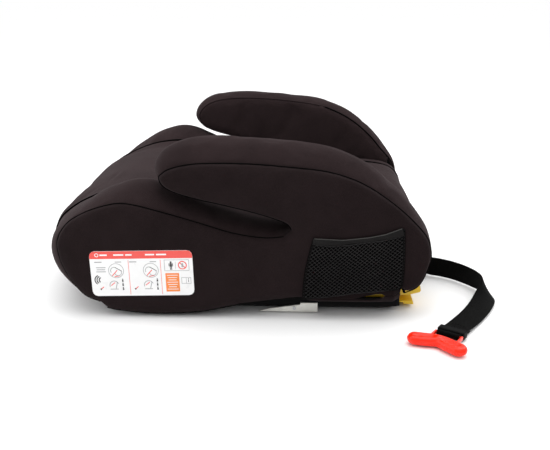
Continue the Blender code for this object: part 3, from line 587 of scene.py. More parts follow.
def solid_material(name, colour, rough, metallic=0.0, grain=1500.0, lift=0.00004, coat=0.0,
                   mottle=0.12, scatter=0.0, spec=0.5):
    """Moulded or rolled stock: fine surface grain, slight colour drift and worn gloss."""
    mat, tree, shader = new_material(name)
    link = tree.links.new
    place = add(tree, "ShaderNodeTexCoord").outputs["Object"]
    fine = blotches(tree, place, Scale=grain, Detail=3.0)
    broad = blotches(tree, place, Scale=38.0, Detail=6.0, Roughness=0.65)
    drift = ramp(tree, broad, [(0.3, grey(1.0 - mottle)), (0.7, grey(1.0 + mottle))])
    link(multiply(tree, 1.0, (*colour, 1.0), drift), shader.inputs["Base Color"])
    link(ramp(tree, broad, [(0.3, grey(rough - 0.07)), (0.7, grey(rough + 0.08))]),
         shader.inputs["Roughness"])
    roughen(tree, shader, fine, 0.35, lift)
    fill(shader, {"Metallic": metallic, "Coat Weight": coat, "Coat Roughness": 0.08,
                  "Specular IOR Level": spec})
    if scatter:
        fill(shader, {"Subsurface Weight": scatter, "Subsurface Scale": 1.0,
                      "Subsurface Radius": (0.004, 0.0012, 0.0006)})
    return mat


def ink(name, *colour):
    return solid_material(name, colour, 0.34, coat=0.25, mottle=0.04)


WARM = (1.0, 0.66, 0.69)
FABRIC = cloth_material("fabric_charcoal", 0.0108, 0.0227, 0.0011, WARM, 0.040)
# One knit in two copies. This second, lighter copy goes on the seat top, bolsters, armrest bands,
# inner faces and welt: painted light, a lit copy standing for the light that falls on the upper
# panels from above.
FABRIC_PAINTED_LIT = cloth_material("fabric_seat_painted_lit", 0.0176, 0.0352, 0.0011, WARM, 0.055)
BINDING = cloth_material("binding_tape", 0.0022, 0.0060, 0.0008, (1.0, 0.92, 0.92), 0.0)
ELASTIC = cloth_material("elastic_rib", 0.010, 0.024, 0.0009, (1.0, 0.96, 0.95), 0.02)
NET = cloth_material("net_yarn", 0.022, 0.048, 0.0005, (1.0, 0.96, 0.97), 0.02, 0.7)
# Near-black sheet behind the pocket net: painted shade for the shadowed inside of the pocket.
POCKET_SHADE_SHEET = cloth_material("pocket_painted_shade", 0.0006, 0.0014, 0.0008, (1, 1, 1), 0.0)
# A pale tube along the pocket band's top: a painted highlight on its edge.
LIP_HIGHLIGHT = cloth_material("elastic_edge_highlight", 0.045, 0.090, 0.0006, (1.0, 0.98, 0.94), 0.05)
THREAD = cloth_material("thread", 0.010, 0.024, 0.0003, (1.0, 0.93, 0.93), 0.03, 0.6)
SEAM = cloth_material("seam_thread", 0.0010, 0.0030, 0.0003, (1, 1, 1), 0.0, 0.9)
FOAM = cloth_material("foam_grey", 0.22, 0.40, 0.0020, (1.0, 0.98, 0.93), 0.0, 1.0)
WEBBING = webbing_material("belt_webbing")
BLACK = solid_material("black_moulding", (0.0045, 0.0045, 0.0046), 0.58, lift=0.00008, spec=0.05)
YELLOW = solid_material("yellow_nylon", (0.80, 0.52, 0.008), 0.34, coat=0.15, mottle=0.06)
RED = solid_material("red_moulding", (0.88, 0.020, 0.003), 0.26, coat=0.18, mottle=0.05,
                     grain=400.0, lift=0.00003, scatter=0.04, spec=0.2)
ZINC = solid_material("zinc_plate", (0.78, 0.77, 0.72), 0.45, metallic=0.55, grain=600.0)
STEEL = solid_material("plated_steel", (0.52, 0.53, 0.55), 0.30, metallic=1.0, grain=900.0)
RUBBER = solid_material("rubber", (0.020, 0.020, 0.021), 0.80, grain=2200.0, lift=0.00010)
FILM = solid_material("label_film", (0.86, 0.86, 0.86), 0.32, coat=0.25, mottle=0.03,
                      grain=700.0, lift=0.00002)
INK_RED = ink("ink_red", 0.80, 0.070, 0.055)
INK_ORANGE = ink("ink_orange", 0.86, 0.22, 0.030)
INK_BLACK = ink("ink_black", 0.030, 0.028, 0.028)
INK_GREY = ink("ink_grey", 0.36, 0.36, 0.37)


def paint(obj, mat):
    obj.data.materials.clear()
    obj.data.materials.append(mat)


def dress(obj, mat, body=BODY, replaces=()):
    """Give a piece its material, its body and the CAD nodes that it replaces."""
    paint(obj, mat)
    if replaces:
        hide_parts(*replaces)
    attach(obj, body)


# ---------------------------------------------------------------- strap, its tail and the clip
UP = np.array([0.0, 0.0, 1.0])
STITCH = 0.0021  # length of one stitch
CLIP_SIDES = 28
# the tail's line from the clip's hinge: ahead and up, in metres
TAIL_FOLD = [(-0.0022, 0.0014), (-0.0004, 0.0026), (0.0018, 0.0021), (0.0026, 0.0),
             (0.0018, -0.0020), (-0.0010, -0.0026), (-0.0080, -0.0026), (-0.0180, -0.0032),
             (-0.0290, -0.0040)]
# the sewn box's corners: back from the strap's end and across it, in metres
SEWN_BOX = [(0.0150, -0.0090), (0.0150, 0.0090), (0.0270, 0.0090), (0.0270, -0.0090),
            (0.0150, -0.0090), (0.0270, 0.0090), (0.0270, -0.0090), (0.0150, 0.0090)]


def webbing_section():
    """The webbing's cross-section, with rounded selvedges: across in metres, half-thicknesses."""
    half = STRAP_WIDTH / 2
    flat = [s * half * 0.985 for s in np.linspace(-1, 1, 13)]
    section = [(a, 0.5) for a in flat]
    for edge, angles in ((0.985, (60, 0, -60)), (-0.985, (-120, 180, 120))):
        if edge < 0:
            section += [(a, -0.5) for a in flat[::-1]]
        section += [(half * (edge + 0.015 * math.cos(math.radians(angle))),
                     0.5 * math.sin(math.radians(angle))) for angle in angles]
    return section


def ribbon(name, points, wide, face, thick):
    """A closed band of webbing along points, with its width and face directions."""
    section = webbing_section()
    rows = [[p + w * a + n * thick * b for a, b in section]
            for p, w, n in zip(points, wide, face)]
    uvs = [(u, a) for u in lengths(points) for a, _ in section]
    obj = grid_object(name, np.array(rows), closed=True, uvs=uvs)
    close_ends(obj, len(section))
    obj.data.set_sharp_from_angle(angle=math.radians(60))
    return obj


def stitches(name, spots, runs, ups, radius):
    """Short thread stitches lying on a surface, one mesh."""
    verts, faces = [], []
    for p, run, up in zip(spots, runs, ups):
        side = np.cross(run, up)
        base = len(verts)
        for t, fat in ((-1.0, 0.30), (-0.7, 0.9), (0.0, 1.1), (0.7, 0.9), (1.0, 0.30)):
            mid = p + run * t * STITCH / 2 + up * radius * (0.6 - 0.7 * abs(t))
            for k in range(6):
                angle = math.pi * k / 3
                verts.append(mid + radius * fat * (side * math.cos(angle)
                                                   + up * math.sin(angle)))
        for a in range(base, base + 24, 6):
            for k in range(6):
                m = (k + 1) % 6
                faces.append((a + k, a + m, a + 6 + m, a + 6 + k))
        faces.append(tuple(base + k for k in range(5, -1, -1)))
        faces.append(tuple(base + 24 + k for k in range(6)))
    return new_object(name, verts, faces, [(v[1], v[2]) for v in verts])


def build_strap():
    """The strap, its folded tail under the clip's bar, and the box of stitches that holds it."""
    route = catmull(STRAP_ROUTE, 7)
    points, roll = route[:, :3], np.radians(route[:, 3:])
    run = unit(np.gradient(points, axis=0))
    flat = unit(np.cross(run, UP))
    wide = flat * np.cos(roll) + np.cross(flat, run) * np.sin(roll)
    face = np.cross(run, wide)
    web = ribbon("belt_strap_web", points, wide, face, 0.0014)
    dress(web, WEBBING, replaces=["belt_strap"])

    ahead = unit(np.array([*STRAP_RUN, 0.0]))
    fold = catmull(TAIL_FOLD, 5)
    line = np.array(CLIP_HINGE) + ahead * fold[:, :1] + UP * fold[:, 1:]
    across = np.repeat(np.cross(ahead, UP)[None], len(line), axis=0)
    under = np.cross(unit(np.gradient(line, axis=0)), across)
    tail = ribbon("strap_tail", line, across, under, 0.0012)
    dress(tail, WEBBING)

    total = lengths(points)
    spots, runs, ups = [], [], []

    def on_strap(back, over):
        p, w, n = (np.array([np.interp(total[-1] - back, total, row[:, k]) for k in range(3)])
                   for row in (points, wide, face))
        n = n if n[2] > 0 else -n
        return p + w * over + n * 0.0008, n

    for a, b in zip(SEWN_BOX, SEWN_BOX[1:]):
        count = int(math.dist(a, b) / 0.0028)
        way = np.array(b) - a
        for k in range(count):
            t = (k + 0.5) / count
            spot, up = on_strap(*(a + way * t))
            near, _ = on_strap(*(a + way * (t + 0.02)))
            spots.append(spot)
            runs.append(unit(near - spot))
            ups.append(up)
    box = stitches("strap_stitches", spots, runs, ups, 0.00030)
    dress(box, THREAD)
    return web, points, tail, box


def build_clip():
    """Two hollowed lobes in one moulding, with ears that hold the bar in the strap's loop."""
    line = catmull(CLIP_LINE, 9)
    flat = unit(np.gradient(line, axis=0))
    across = np.stack([flat[:, 1], -flat[:, 0]], axis=1)
    place = np.linspace(0, 1, len(line))
    total = lengths(line)
    from_end = np.minimum(total, total[-1] - total)
    full = np.maximum(dome(from_end, 0.0085), math.sqrt(0.02))
    waist = 1 - 0.16 * bell(place, 0.50, 0.10)
    hollow = 0.0036 * np.clip(from_end / 0.008 - 0.35, 0, 1) * (1 - 0.8 * bell(place, 0.50, 0.07))
    rings = []
    for i in range(len(line)):
        ring = []
        for k in range(CLIP_SIDES):
            angle = 2 * math.pi * k / CLIP_SIDES
            c, s = math.cos(angle), math.sin(angle)
            wide = math.copysign(abs(c) ** 0.85, c) * CLIP_HALF * full[i] * waist[i]
            high = math.copysign(abs(s) ** 0.85, s) * CLIP_RISE * full[i]
            if s > 0:
                high -= hollow[i] * bell(c, 0, 0.36)
            x, y = CLIP_HINGE[:2] + line[i] + across[i] * wide
            ring.append((x, y, CLIP_HINGE[2] + high))
        rings.append(ring)
    clip = grid_object("clip_moulding", np.array(rings), closed=True)
    close_ends(clip, CLIP_SIDES)
    turn = Matrix.Translation(CLIP_HINGE) @ Matrix.Rotation(
        math.atan2(STRAP_RUN[1], STRAP_RUN[0]), 4, "Z")
    with edited(clip) as bm:
        for side in (-1, 1):
            ear = bmesh.ops.create_cube(bm, size=1.0)["verts"]
            shape = Matrix.Translation((0.0090, side * 0.0144, -0.0003)) @ Matrix.Diagonal(
                (0.0208, 0.0020, 0.0044, 1))
            bmesh.ops.transform(bm, matrix=turn @ shape, verts=ear)
            rim = list({e for v in ear for e in v.link_edges})
            bmesh.ops.bevel(bm, geom=rim, offset=0.0007, segments=3, profile=0.6, affect="EDGES")
        bar = bmesh.ops.create_cone(bm, cap_ends=True, segments=20, radius1=0.0016,
                                    radius2=0.0016, depth=0.0290)["verts"]
        bmesh.ops.transform(bm, matrix=turn @ Matrix.Rotation(math.pi / 2, 4, "X"), verts=bar)
        bmesh.ops.recalc_face_normals(bm, faces=bm.faces)
    clip.data.set_sharp_from_angle(angle=math.radians(55))
    dress(clip, RED, body="clip", replaces=["belt_clip"])
    return clip


strap, strap_line, strap_tail, strap_box = build_strap()
clip = build_clip()


# ---------------------------------------------------------------- seat covers
MIDDLE = catmull(MIDDLE_PATH, FINE)
CREST = catmull(CREST_PATH, FINE)
EDGE = catmull(EDGE_PATH, FINE)
ARM = catmull(ARM_PATH, FINE)
HEM = catmull(HEM_PATH, FINE)
HEM = HEM[HEM[:, 0] > HEM_FRONT]


def seat_profile(x):
    """The seat's side-view profile at distance x from the middle."""
    across = abs(x)
    if across <= CREST_X:
        t = smoothstep((across - DISH_X) / (CREST_X - DISH_X))
        return MIDDLE * (1 - t) + CREST * t
    t = ((across - CREST_X) / (EDGE_X - CREST_X)) ** 2
    return CREST * (1 - t) + EDGE * t


def arm_profile(x):
    """The armrest's outline at x, set in by its fall."""
    path, fall = ARM[:, :2], ARM[:, 2]
    if x >= ARM_CREST_X:
        depth = fall * ((x - ARM_CREST_X) / (EDGE_X - ARM_CREST_X)) ** 2
    else:
        share = (ARM_CREST_X - x) / (ARM_CREST_X - ARM_IN)
        depth = np.minimum(ARM_INNER_FALL, fall) * share ** 2
    run = unit(np.gradient(path, axis=0))
    return path - np.stack([-run[:, 1], run[:, 0]], axis=1) * depth[:, None]


def at_x(x, profile):
    """A side-view profile as points in space."""
    return np.array([(x, y, z) for y, z in profile])


def seat_grid(stations):
    """Grid of seat points. stations is one row of x values for each profile point."""
    grid = np.zeros(stations.shape + (3,))
    values, where = np.unique(np.round(stations, 6), return_inverse=True)
    profiles = np.array([seat_profile(x) for x in values])
    where = where.reshape(stations.shape)
    for i in range(stations.shape[0]):
        grid[i, :, 0] = stations[i]
        grid[i, :, 1:] = profiles[where[i], i]
    return grid


def seam_dip(distance, depth=0.0017):
    """How far cloth is drawn in beside a seam."""
    distance = np.maximum(distance, 0.0)
    return depth * np.exp(-(distance / 0.0024) ** 1.4) + 0.30 * depth * np.exp(-distance / 0.009)


def puckers(along, distance, seed, size=0.00022):
    """Small gathers that run away from a seam."""
    rng = np.random.default_rng(seed)
    wave = np.zeros_like(along)
    for pitch in (0.0085, 0.0130, 0.0210):
        wave += np.sin(along * 2 * np.pi / (pitch * rng.uniform(0.9, 1.1)) + rng.uniform(0, 6.28))
    return size * wave / 2 * np.exp(-distance / 0.0065)


def graded(low, high, count, edge=0.0011):
    """x values from low to high, closer together beside both seams."""
    fine = np.array([0.0, 1.0, 2.2, 3.8, 6.0]) * edge
    left, right = low + fine, high - fine[::-1]
    return np.r_[left, np.linspace(left[-1], right[0], count)[1:-1], right]


def run_along(grid):
    """Distance along the profile at each point of a grid."""
    return np.repeat(grid_lengths(grid)[0][:, None], grid.shape[1], axis=1)


def raised(name, grid, amount):
    return grid_object(name, grid + grid_normals(grid) * amount[..., None])


def outward(grid, centre=(0.0, 0.0, 0.055), rows=slice(None)):
    """The grid, turned so that its normals point away from the centre."""
    if ((grid - np.array(centre)) * grid_normals(grid))[rows].sum(2).mean() < 0:
        return grid[:, ::-1]
    return grid


# By default a panel gets the lighter copy of the knit, which is painted light from above.
def upholster(obj, node, fill, mat=FABRIC_PAINTED_LIT, depth=CLOTH, levels=1, **swell):
    """Swell a cover panel, give it thickness and let it stand for its CAD node."""
    settle(obj, **swell)
    thicken(obj, depth, levels)
    dress(obj, mat, replaces=[node])


def build_seat_panel():
    xs = graded(-SEAM_X, SEAM_X, 34)
    grid = outward(seat_grid(np.repeat(xs[None], len(MIDDLE), axis=0)))
    x, y = grid[:, :, 0], grid[:, :, 1]
    seam = SEAM_X - np.abs(x)
    along = run_along(grid)
    lift = -seam_dip(seam) + puckers(along + 3 * (x > 0), seam, 3)
    lift += 0.00035 * noise(grid, 0.085, 11)
    lift += 0.0013 * np.clip(1 - (x / SEAM_X) ** 2, 0, 1) * smoothstep((along - 0.10) / 0.12)
    lift -= 0.0021 * bell(y, -0.158, 0.0026) * bell(x, 0.045, 0.016)
    lift += 0.0013 * bell(y, -0.152, 0.0035) * bell(x, 0.047, 0.020)
    upholster(raised("seat_panel", grid, lift), "seat_cover", 0.75)


def build_bolster(side, hand):
    rows = []
    for y, z in CREST:
        tuck = smoothstep((y - 0.0645) / 0.0060)
        outer = EDGE_X
        if y > 0.0655 or z > 0.07:
            outer = EDGE_X * (1 - tuck) + ARM_IN * tuck
        rows.append(graded(SEAM_X, outer, 15, 0.0011 * (outer - SEAM_X) / (EDGE_X - SEAM_X)))
    stations = np.array(rows)
    grid = seat_grid(stations)
    grid[:, :, 0] *= side
    grid = outward(grid)
    x = np.abs(grid[:, :, 0])
    inner, outer = x - SEAM_X, stations.max(1)[:, None] - x
    along = run_along(grid)
    lift = -seam_dip(inner) - seam_dip(outer)
    lift += puckers(along, inner, 5 + side) + puckers(along, outer, 9 + side)
    lift += 0.00040 * noise(grid, 0.070, 20 + side)
    share = np.clip(inner / np.maximum(inner + outer, 1e-6), 0, 1)
    lift += 0.0009 * np.sin(np.pi * share)
    over_hooks = smoothstep((along - along.max() + 0.045) / 0.025)
    lift = lift * (1 - over_hooks) - HOOK_ROOM * over_hooks
    upholster(raised("bolster_pad_" + hand, grid, lift), "bolster_cover_" + hand, 0.8,
              calm=over_hooks.ravel())


def build_gusset(side, hand):
    """The band of cover round the armrest's edge."""
    xs = graded(ARM_IN + 0.0008, EDGE_X, 15, 0.0009)
    grid = np.zeros((len(ARM) + 1, len(xs), 3))
    for j, x in enumerate(xs):
        grid[0, j, 1:] = (0.0655, 0.0925)
        grid[1:, j, 1:] = arm_profile(x)
        grid[:, j, 0] = side * x
    grid = outward(grid, (side * 0.175, 0.07, 0.150), slice(30, 80))
    x = np.abs(grid[:, :, 0])
    outer, inner = EDGE_X - x, x - ARM_IN - 0.0008
    along = run_along(grid)
    shown = 0.25 + 0.75 * smoothstep((grid[:, :, 1] - ARM_SEAM_FROM) / 0.030)
    lift = -seam_dip(outer) - seam_dip(inner, 0.0012) * shown
    lift += puckers(along, outer, 31 + side, 0.00025)
    lift += puckers(along, inner, 37 + side, 0.00018) * shown
    lift += 0.00035 * noise(grid, 0.060, 40 + side)
    top = smoothstep((grid[:, :, 2] - 0.15) / 0.03)
    lift += 0.0010 * np.sin(np.pi * np.clip(inner / (EDGE_X - ARM_IN), 0, 1)) * top
    upholster(raised("arm_gusset_" + hand, grid, lift), "arm_edge_cover_" + hand, 0.8, cap=0.0010)


def build_arm_cheek(side, hand):
    """The armrest's inner face."""
    rim = arm_profile(ARM_IN + 0.0005)
    last = [k for k in range(len(rim)) if ARM[k, 0] > 0.19 and ARM[k, 1] < 0.106][0]
    foot = np.array([(y, z - 0.006) for y, z in CREST
                     if y > 0.0665 and z > 0.090 and y < rim[last, 0] - 0.002])[::-1]
    spots, faces, gap = region(np.vstack([rim[:last + 1], foot]), 0.0034,
                               (0.0010, 0.0024, 0.0045, 0.0075, 0.0115))
    xs = ARM_IN + 0.0014 - 0.0032 * dome(gap, 0.012) + 0.0006 * bell(gap, 0, 0.0015)
    verts = np.c_[side * xs, spots]
    verts[:, 0] += side * 0.0003 * noise(verts, 0.07, 47 + side)
    obj = new_object("arm_inner_pad_" + hand, verts, faces, spots)
    orient(obj, (-side, 0, 0))
    upholster(obj, "arm_inner_cover_" + hand, 0.8, depth=0.0014, levels=0)


def build_side(side, hand):
    """The side panel with the armrest's outer face, and the tape along its hem."""
    outline = np.vstack([EDGE[:SLOT_ROW * FINE + 1], arm_profile(EDGE_X)[:-1], HEM])
    spots, faces, gap = region(outline, 0.0040, (0.0011, 0.0026, 0.0048, 0.0078, 0.0118, 0.0160))
    y, z = spots.T
    xs = EDGE_X + 0.0001 + 0.0076 * dome(gap, 0.0150) - 0.0012 * bell(gap, 0, 0.0016)
    verts = np.c_[side * xs, spots]
    label = bell(y, -0.0955, 0.070, 4) * bell(z, 0.0535, 0.036, 4)
    verts[:, 0] += side * 0.00045 * (noise(verts, 0.075, 60 + side) - 0.6) * (1 - label)
    rng = np.random.default_rng(70 + side)
    gather = np.zeros(len(verts))
    for pitch in (0.010, 0.016, 0.023):
        gather += np.sin(2 * np.pi * ((y * 0.8 + z * 0.6) / pitch + rng.uniform(0, 1)))
    verts[:, 0] += side * 0.00016 * gather * np.exp(-gap / 0.007)
    obj = new_object("side_panel_" + hand, verts, faces, spots)
    orient(obj, (side, 0, 0))
    pocket = bell(y, 0.135, 0.066, 6) * bell(z, 0.066, 0.050, 6)
    upholster(obj, "side_cover_" + hand, 0.7, FABRIC, calm=np.maximum(label, pocket), cap=0.0012)

    line = at_x(side * (EDGE_X + 0.0006), HEM + (0.0, 0.0012))
    tape = tube("hem_binding_" + hand, resample(line, 0.003), 0.0017, 10)
    dress(tape, BINDING)


# the cover below the pocket: (y, z) of its upper edge, its slit and its foot
FLAP_TOP = [(0.0780, 0.0247), (0.1100, 0.0277), (0.1450, 0.0317), (0.1660, 0.0347),
            (0.1875, 0.0377)]
SLIT_UPPER = [(0.0780, 0.0228), (0.1100, 0.0222), (0.1360, 0.0228), (0.1475, 0.0262),
              (0.1583, 0.0288), (0.1655, 0.0292), (0.1690, 0.0268), (0.1875, 0.0275)]
SLIT_LOWER = [(0.0780, 0.0228), (0.1100, 0.0222), (0.1360, 0.0225), (0.1532, 0.0218),
              (0.1640, 0.0232), (0.1690, 0.0265), (0.1875, 0.0275)]
FLAP_FOOT = [(0.0780, 0.0215), (0.0860, 0.0172), (0.0960, 0.0160), (0.1400, 0.0158),
             (0.1875, 0.0166)]


def build_hem_flap(side, hand):
    """The cover below the pocket, slit over the yellow release slider."""
    ys = np.linspace(0.0780, 0.1875, 110)
    open_at = bell(ys, 0.156, 0.014)
    parts = []
    for k, edges in enumerate(((FLAP_TOP, SLIT_UPPER), (SLIT_LOWER, FLAP_FOOT))):
        top, low = (np.interp(ys, *zip(*edge)) for edge in edges)
        rows = []
        for v in np.linspace(0, 1, 8):
            lip = v if k == 0 else 1 - v
            out = EDGE_X + 0.0006 - 0.0009 * (k + v) + 0.0009 * open_at * lip ** 2
            out -= 0.0070 * k * v ** 2 + 0.0095 * smoothstep((ys - 0.1780) / 0.0100)
            rows.append(np.stack([side * out, ys, top + (low - top) * v], axis=1))
        part = grid_object("flap_%d" % k, np.array(rows))
        orient(part, (side, 0, 0))
        thicken(part, 0.0011)
        parts.append(part)
    dress(join("hem_flap_" + hand, parts), FABRIC)


def build_seat_hems():
    """Tape along the cover's front and rear hems."""
    parts = []
    for row in (0, -1):
        line = [(x, y, z + 0.0008) for x in np.linspace(0.001 - EDGE_X, EDGE_X - 0.001, 100)
                for y, z in [seat_profile(x)[row]]]
        parts.append(tube("hem_%d" % row, line, 0.0015, 10))
    dress(join("seat_hems", parts), BINDING)


def build_seams(side, hand):
    """The thread at the bottom of each seam, as a fine dark cord, and the armrest's welt."""
    mirror = np.array([side, 1.0, 1.0])
    arm_x = ARM_IN + 0.0008
    inner = at_x(arm_x, arm_profile(arm_x))
    runs = ((0.00100, at_x(SEAM_X, seat_profile(SEAM_X))),
            (0.00060, at_x(EDGE_X, seat_profile(EDGE_X)[:SLOT_ROW * FINE + 1])),
            (0.00060, at_x(EDGE_X, arm_profile(EDGE_X))),
            (0.00100, inner[inner[:, 1] > ARM_SEAM_FROM]))
    parts = [tube("seam_%d" % k, resample(run * mirror, 0.0016), radius, 6)
             for k, (radius, run) in enumerate(runs)]
    front = inner[(inner[:, 1] <= ARM_SEAM_FROM + 0.002) & (inner[:, 2] > 0.100)]
    welt = tube("arm_welt_" + hand, resample(front * mirror, 0.0020), 0.0008)
    dress(welt, FABRIC_PAINTED_LIT)
    dress(join("seam_threads_" + hand, parts), SEAM)


HANDS = (("left", 1), ("right", -1))
build_seat_panel()
for hand, side in HANDS:
    build_bolster(side, hand)
    build_gusset(side, hand)
    build_arm_cheek(side, hand)
    build_side(side, hand)
    build_hem_flap(side, hand)
    build_seams(side, hand)
build_seat_hems()


# ---------------------------------------------------------------- pockets
POCKET_FRONT = 0.0800
POCKET_REAR = 0.1855
NET_WIDE, NET_TALL = 42, 28
# z of the pocket's bottom and mouth at each quarter of its length, and (y, z) of the band's top
POCKET_BOTTOM = (0.0262, 0.0290, 0.0335, 0.0362, 0.0395)
POCKET_MOUTH = (0.0885, 0.0872, 0.0907, 0.0942, 0.0995)
BAND_TOP = ((0.0895, 0.1215, 0.1500, 0.1660, 0.1835), (0.0960, 0.0948, 0.0983, 0.1018, 0.1085))


def quarters(s, table):
    return np.interp(s, np.linspace(0, 1, 5), table)


def pocket_point(s, t):
    """A point (y, z) of the pocket, s from its front to its rear, t from bottom to mouth."""
    bow = math.sin(math.pi * t)
    low, high = quarters(s, POCKET_BOTTOM), quarters(s, POCKET_MOUTH)
    front = POCKET_FRONT + 0.0090 * t - 0.0022 * bow
    y = front + (POCKET_REAR - front) * s + 0.0012 * bow * s
    return np.array([y, low + (high - low) * t])


def pocket_bulge(s, t):
    """How far the net stands off the side cover: slack folds that grow towards the mouth."""
    hold = math.sin(math.pi * s) ** 0.6 if 0 < s < 1 else 0.0
    fold = math.sin(2 * math.pi * (s * 3.1 + 0.08 * math.sin(5 * t))) * 0.5
    fold += math.sin(2 * math.pi * (s * 5.3 + 0.13 + 0.10 * t)) * 0.3
    return 0.0009 + hold * (0.0011 + 0.0009 * t * (1 + fold)) + 0.0004 * hold * fold


def build_net(side, hand):
    """Diamond net: every second point of a grid, joined by strands, over a near-black sheet of
    painted shade for the pocket's shadowed inside.
    """
    verts, index = [], {}
    cells = [(i, j) for i in range(NET_WIDE + 1) for j in range(NET_TALL + 1)]
    for i, j in cells:
        if (i + j) % 2 == 0:
            s, t = i / NET_WIDE, j / NET_TALL
            index[i, j] = len(verts)
            verts.append((side * (SIDE_FACE + pocket_bulge(s, t)), *pocket_point(s, t)))
    faces = []
    for i, j in cells:
        if (i + j) % 2:
            around = ((i - 1, j), (i, j - 1), (i + 1, j), (i, j + 1))
            ring = tuple(index[k] for k in around if k in index)
            if len(ring) >= 3:
                faces.append(ring)
    net = new_object("pocket_net_" + hand, verts, faces, [v[1:] for v in verts])
    orient(net, (side, 0, 0))
    wire = net.modifiers.new("strands", "WIREFRAME")
    wire.thickness = 0.00100
    wire.use_replace = True
    wire.use_even_offset = False
    wire.use_boundary = True
    apply_modifiers(net)
    dress(net, NET, replaces=["mesh_pocket_" + hand])
    # Behind the net, a near-black sheet just off the side cover: painted shade for the pocket's
    # shadowed inside.
    rows = [[(side * (SIDE_FACE + 0.0006), *pocket_point(s, t)) for t in np.linspace(0, 1.10, 16)]
            for s in np.linspace(0, 1, 24)]
    lining = grid_object("pocket_painted_shade_" + hand, np.array(rows))
    orient(lining, (side, 0, 0))
    thicken(lining, 0.0005, levels=0)
    dress(lining, POCKET_SHADE_SHEET)


def build_band(side, hand):
    """The ribbed elastic at the mouth, and a pale tube along its top: a painted highlight on the
    band's edge.
    """
    rows = []
    for v in np.linspace(0, 1, 9):
        row = []
        round_edge = math.sqrt(max(0.0, 1 - (2 * v - 1) ** 2))
        for s in np.linspace(0, 1, 91):
            low = pocket_point(s, 1.0)
            high = np.array([quarters(s, values) for values in BAND_TOP])
            rib = math.sin(2 * math.pi * s * 46) * 0.00022 * round_edge
            out = 0.0007 + 0.0022 * round_edge + rib + 0.0008 * math.sin(math.pi * s) * v
            row.append((side * (SIDE_FACE + out), *(low + (high - low) * v)))
        rows.append(row)
    band = grid_object("pocket_band_" + hand, np.array(rows))
    orient(band, (side, 0, 0))
    thicken(band, 0.0007, levels=0)
    dress(band, ELASTIC, replaces=["pocket_elastic_" + hand])
    # A pale thin tube along the band's top: painted highlight.
    edge = []
    for s in np.linspace(0.01, 0.99, 40):
        y, z = (quarters(s, values) for values in BAND_TOP)
        edge.append((side * (SIDE_FACE + 0.0016 + 0.0008 * math.sin(math.pi * s)), y, z - 0.0004))
    lip = tube("pocket_lip_highlight_" + hand, resample(np.array(edge), 0.0030), 0.00055)
    dress(lip, LIP_HIGHLIGHT)


def build_pocket_trim(side, hand):
    """Tape round the pocket's three sewn edges, with its stitches."""
    path = [(0.0, 1.12)] + [(0.0, t) for t in np.linspace(1, 0, 16)]
    path += [(s, 0.0) for s in np.linspace(0, 1, 22)[1:]]
    path += [(1.0, t) for t in np.linspace(0, 1.12, 16)[1:]]
    line = at_x(side * (SIDE_FACE + 0.0004), [pocket_point(s, t) for s, t in path])
    trim = tube("pocket_binding_" + hand, resample(line, 0.0022), 0.0014)
    dress(trim, BINDING)
    fine = resample(line, 0.0034)
    ups = np.repeat([[float(side), 0.0, 0.0]], len(fine), axis=0)
    sewn = stitches("pocket_stitches_" + hand, fine + ups * 0.0013,
                    unit(np.gradient(fine, axis=0)), ups, 0.00026)
    dress(sewn, THREAD)


for hand, side in HANDS:
    build_net(side, hand)
    build_band(side, hand)
    build_pocket_trim(side, hand)


# ---------------------------------------------------------------- instruction label
LABEL_CENTRE = (-0.0955, 0.0535)
LABEL_TILT = math.radians(1.5)
LABEL_X = 0.2089


def label_spot(a, b, level=0.0):
    """A point of the label's face: a across from its centre, b up, both in metres."""
    y = LABEL_CENTRE[0] + a * math.cos(LABEL_TILT) - b * math.sin(LABEL_TILT)
    z = LABEL_CENTRE[1] + a * math.sin(LABEL_TILT) + b * math.cos(LABEL_TILT)
    return (LABEL_X + 0.00006 + level, y, z)


class Print:
    """Flat shapes of one ink, gathered into one mesh."""

    def __init__(self, level):
        self.verts, self.faces, self.level = [], [], level

    def shape(self, points):
        base = len(self.verts)
        self.verts += [label_spot(a, b, self.level) for a, b in points]
        self.faces.append(tuple(range(base, base + len(points))))

    def bar(self, a, b, wide, high, turn=0.0):
        c, s = math.cos(turn), math.sin(turn)
        corners = ((-wide, -high), (wide, -high), (wide, high), (-wide, high))
        self.shape([(a + (p * c - q * s) / 2, b + (p * s + q * c) / 2) for p, q in corners])

    def disc(self, a, b, radius, sides=20):
        self.shape([(a + radius * math.cos(2 * math.pi * k / sides),
                     b + radius * math.sin(2 * math.pi * k / sides)) for k in range(sides)])

    def ring(self, a, b, radius, width, sides=32):
        self.arc(a, b, radius, width, 0.0, 360.0, sides)

    def arc(self, a, b, radius, width, start, end, sides=16):
        for k in range(sides):
            quad = []
            for step, r in ((k, radius - width / 2), (k + 1, radius - width / 2),
                            (k + 1, radius + width / 2), (k, radius + width / 2)):
                angle = math.radians(start + (end - start) * step / sides)
                quad.append((a + r * math.cos(angle), b + r * math.sin(angle)))
            self.shape(quad)

    def frame(self, a, b, wide, high, line):
        self.bar(a, b + high / 2, wide + line, line)
        self.bar(a, b - high / 2, wide + line, line)
        self.bar(a - wide / 2, b, line, high)
        self.bar(a + wide / 2, b, line, high)

    def make(self, name, mat):
        obj = new_object(name, self.verts, self.faces)
        orient(obj, (1, 0, 0))
        obj.data.shade_flat()
        dress(obj, mat)


def rounded(wide, high, corner, low=None):
    """Outline of a rounded rectangle about the label's centre, cut off below low."""
    points = []
    for k, (sa, sb) in enumerate(((1, -1), (1, 1), (-1, 1), (-1, -1))):
        for step in range(7):
            angle = math.radians(-90 + 90 * k + 15 * step)
            b = sb * (high / 2 - corner) + corner * math.sin(angle)
            points.append((sa * (wide / 2 - corner) + corner * math.cos(angle),
                           b if low is None else max(b, low)))
    return points


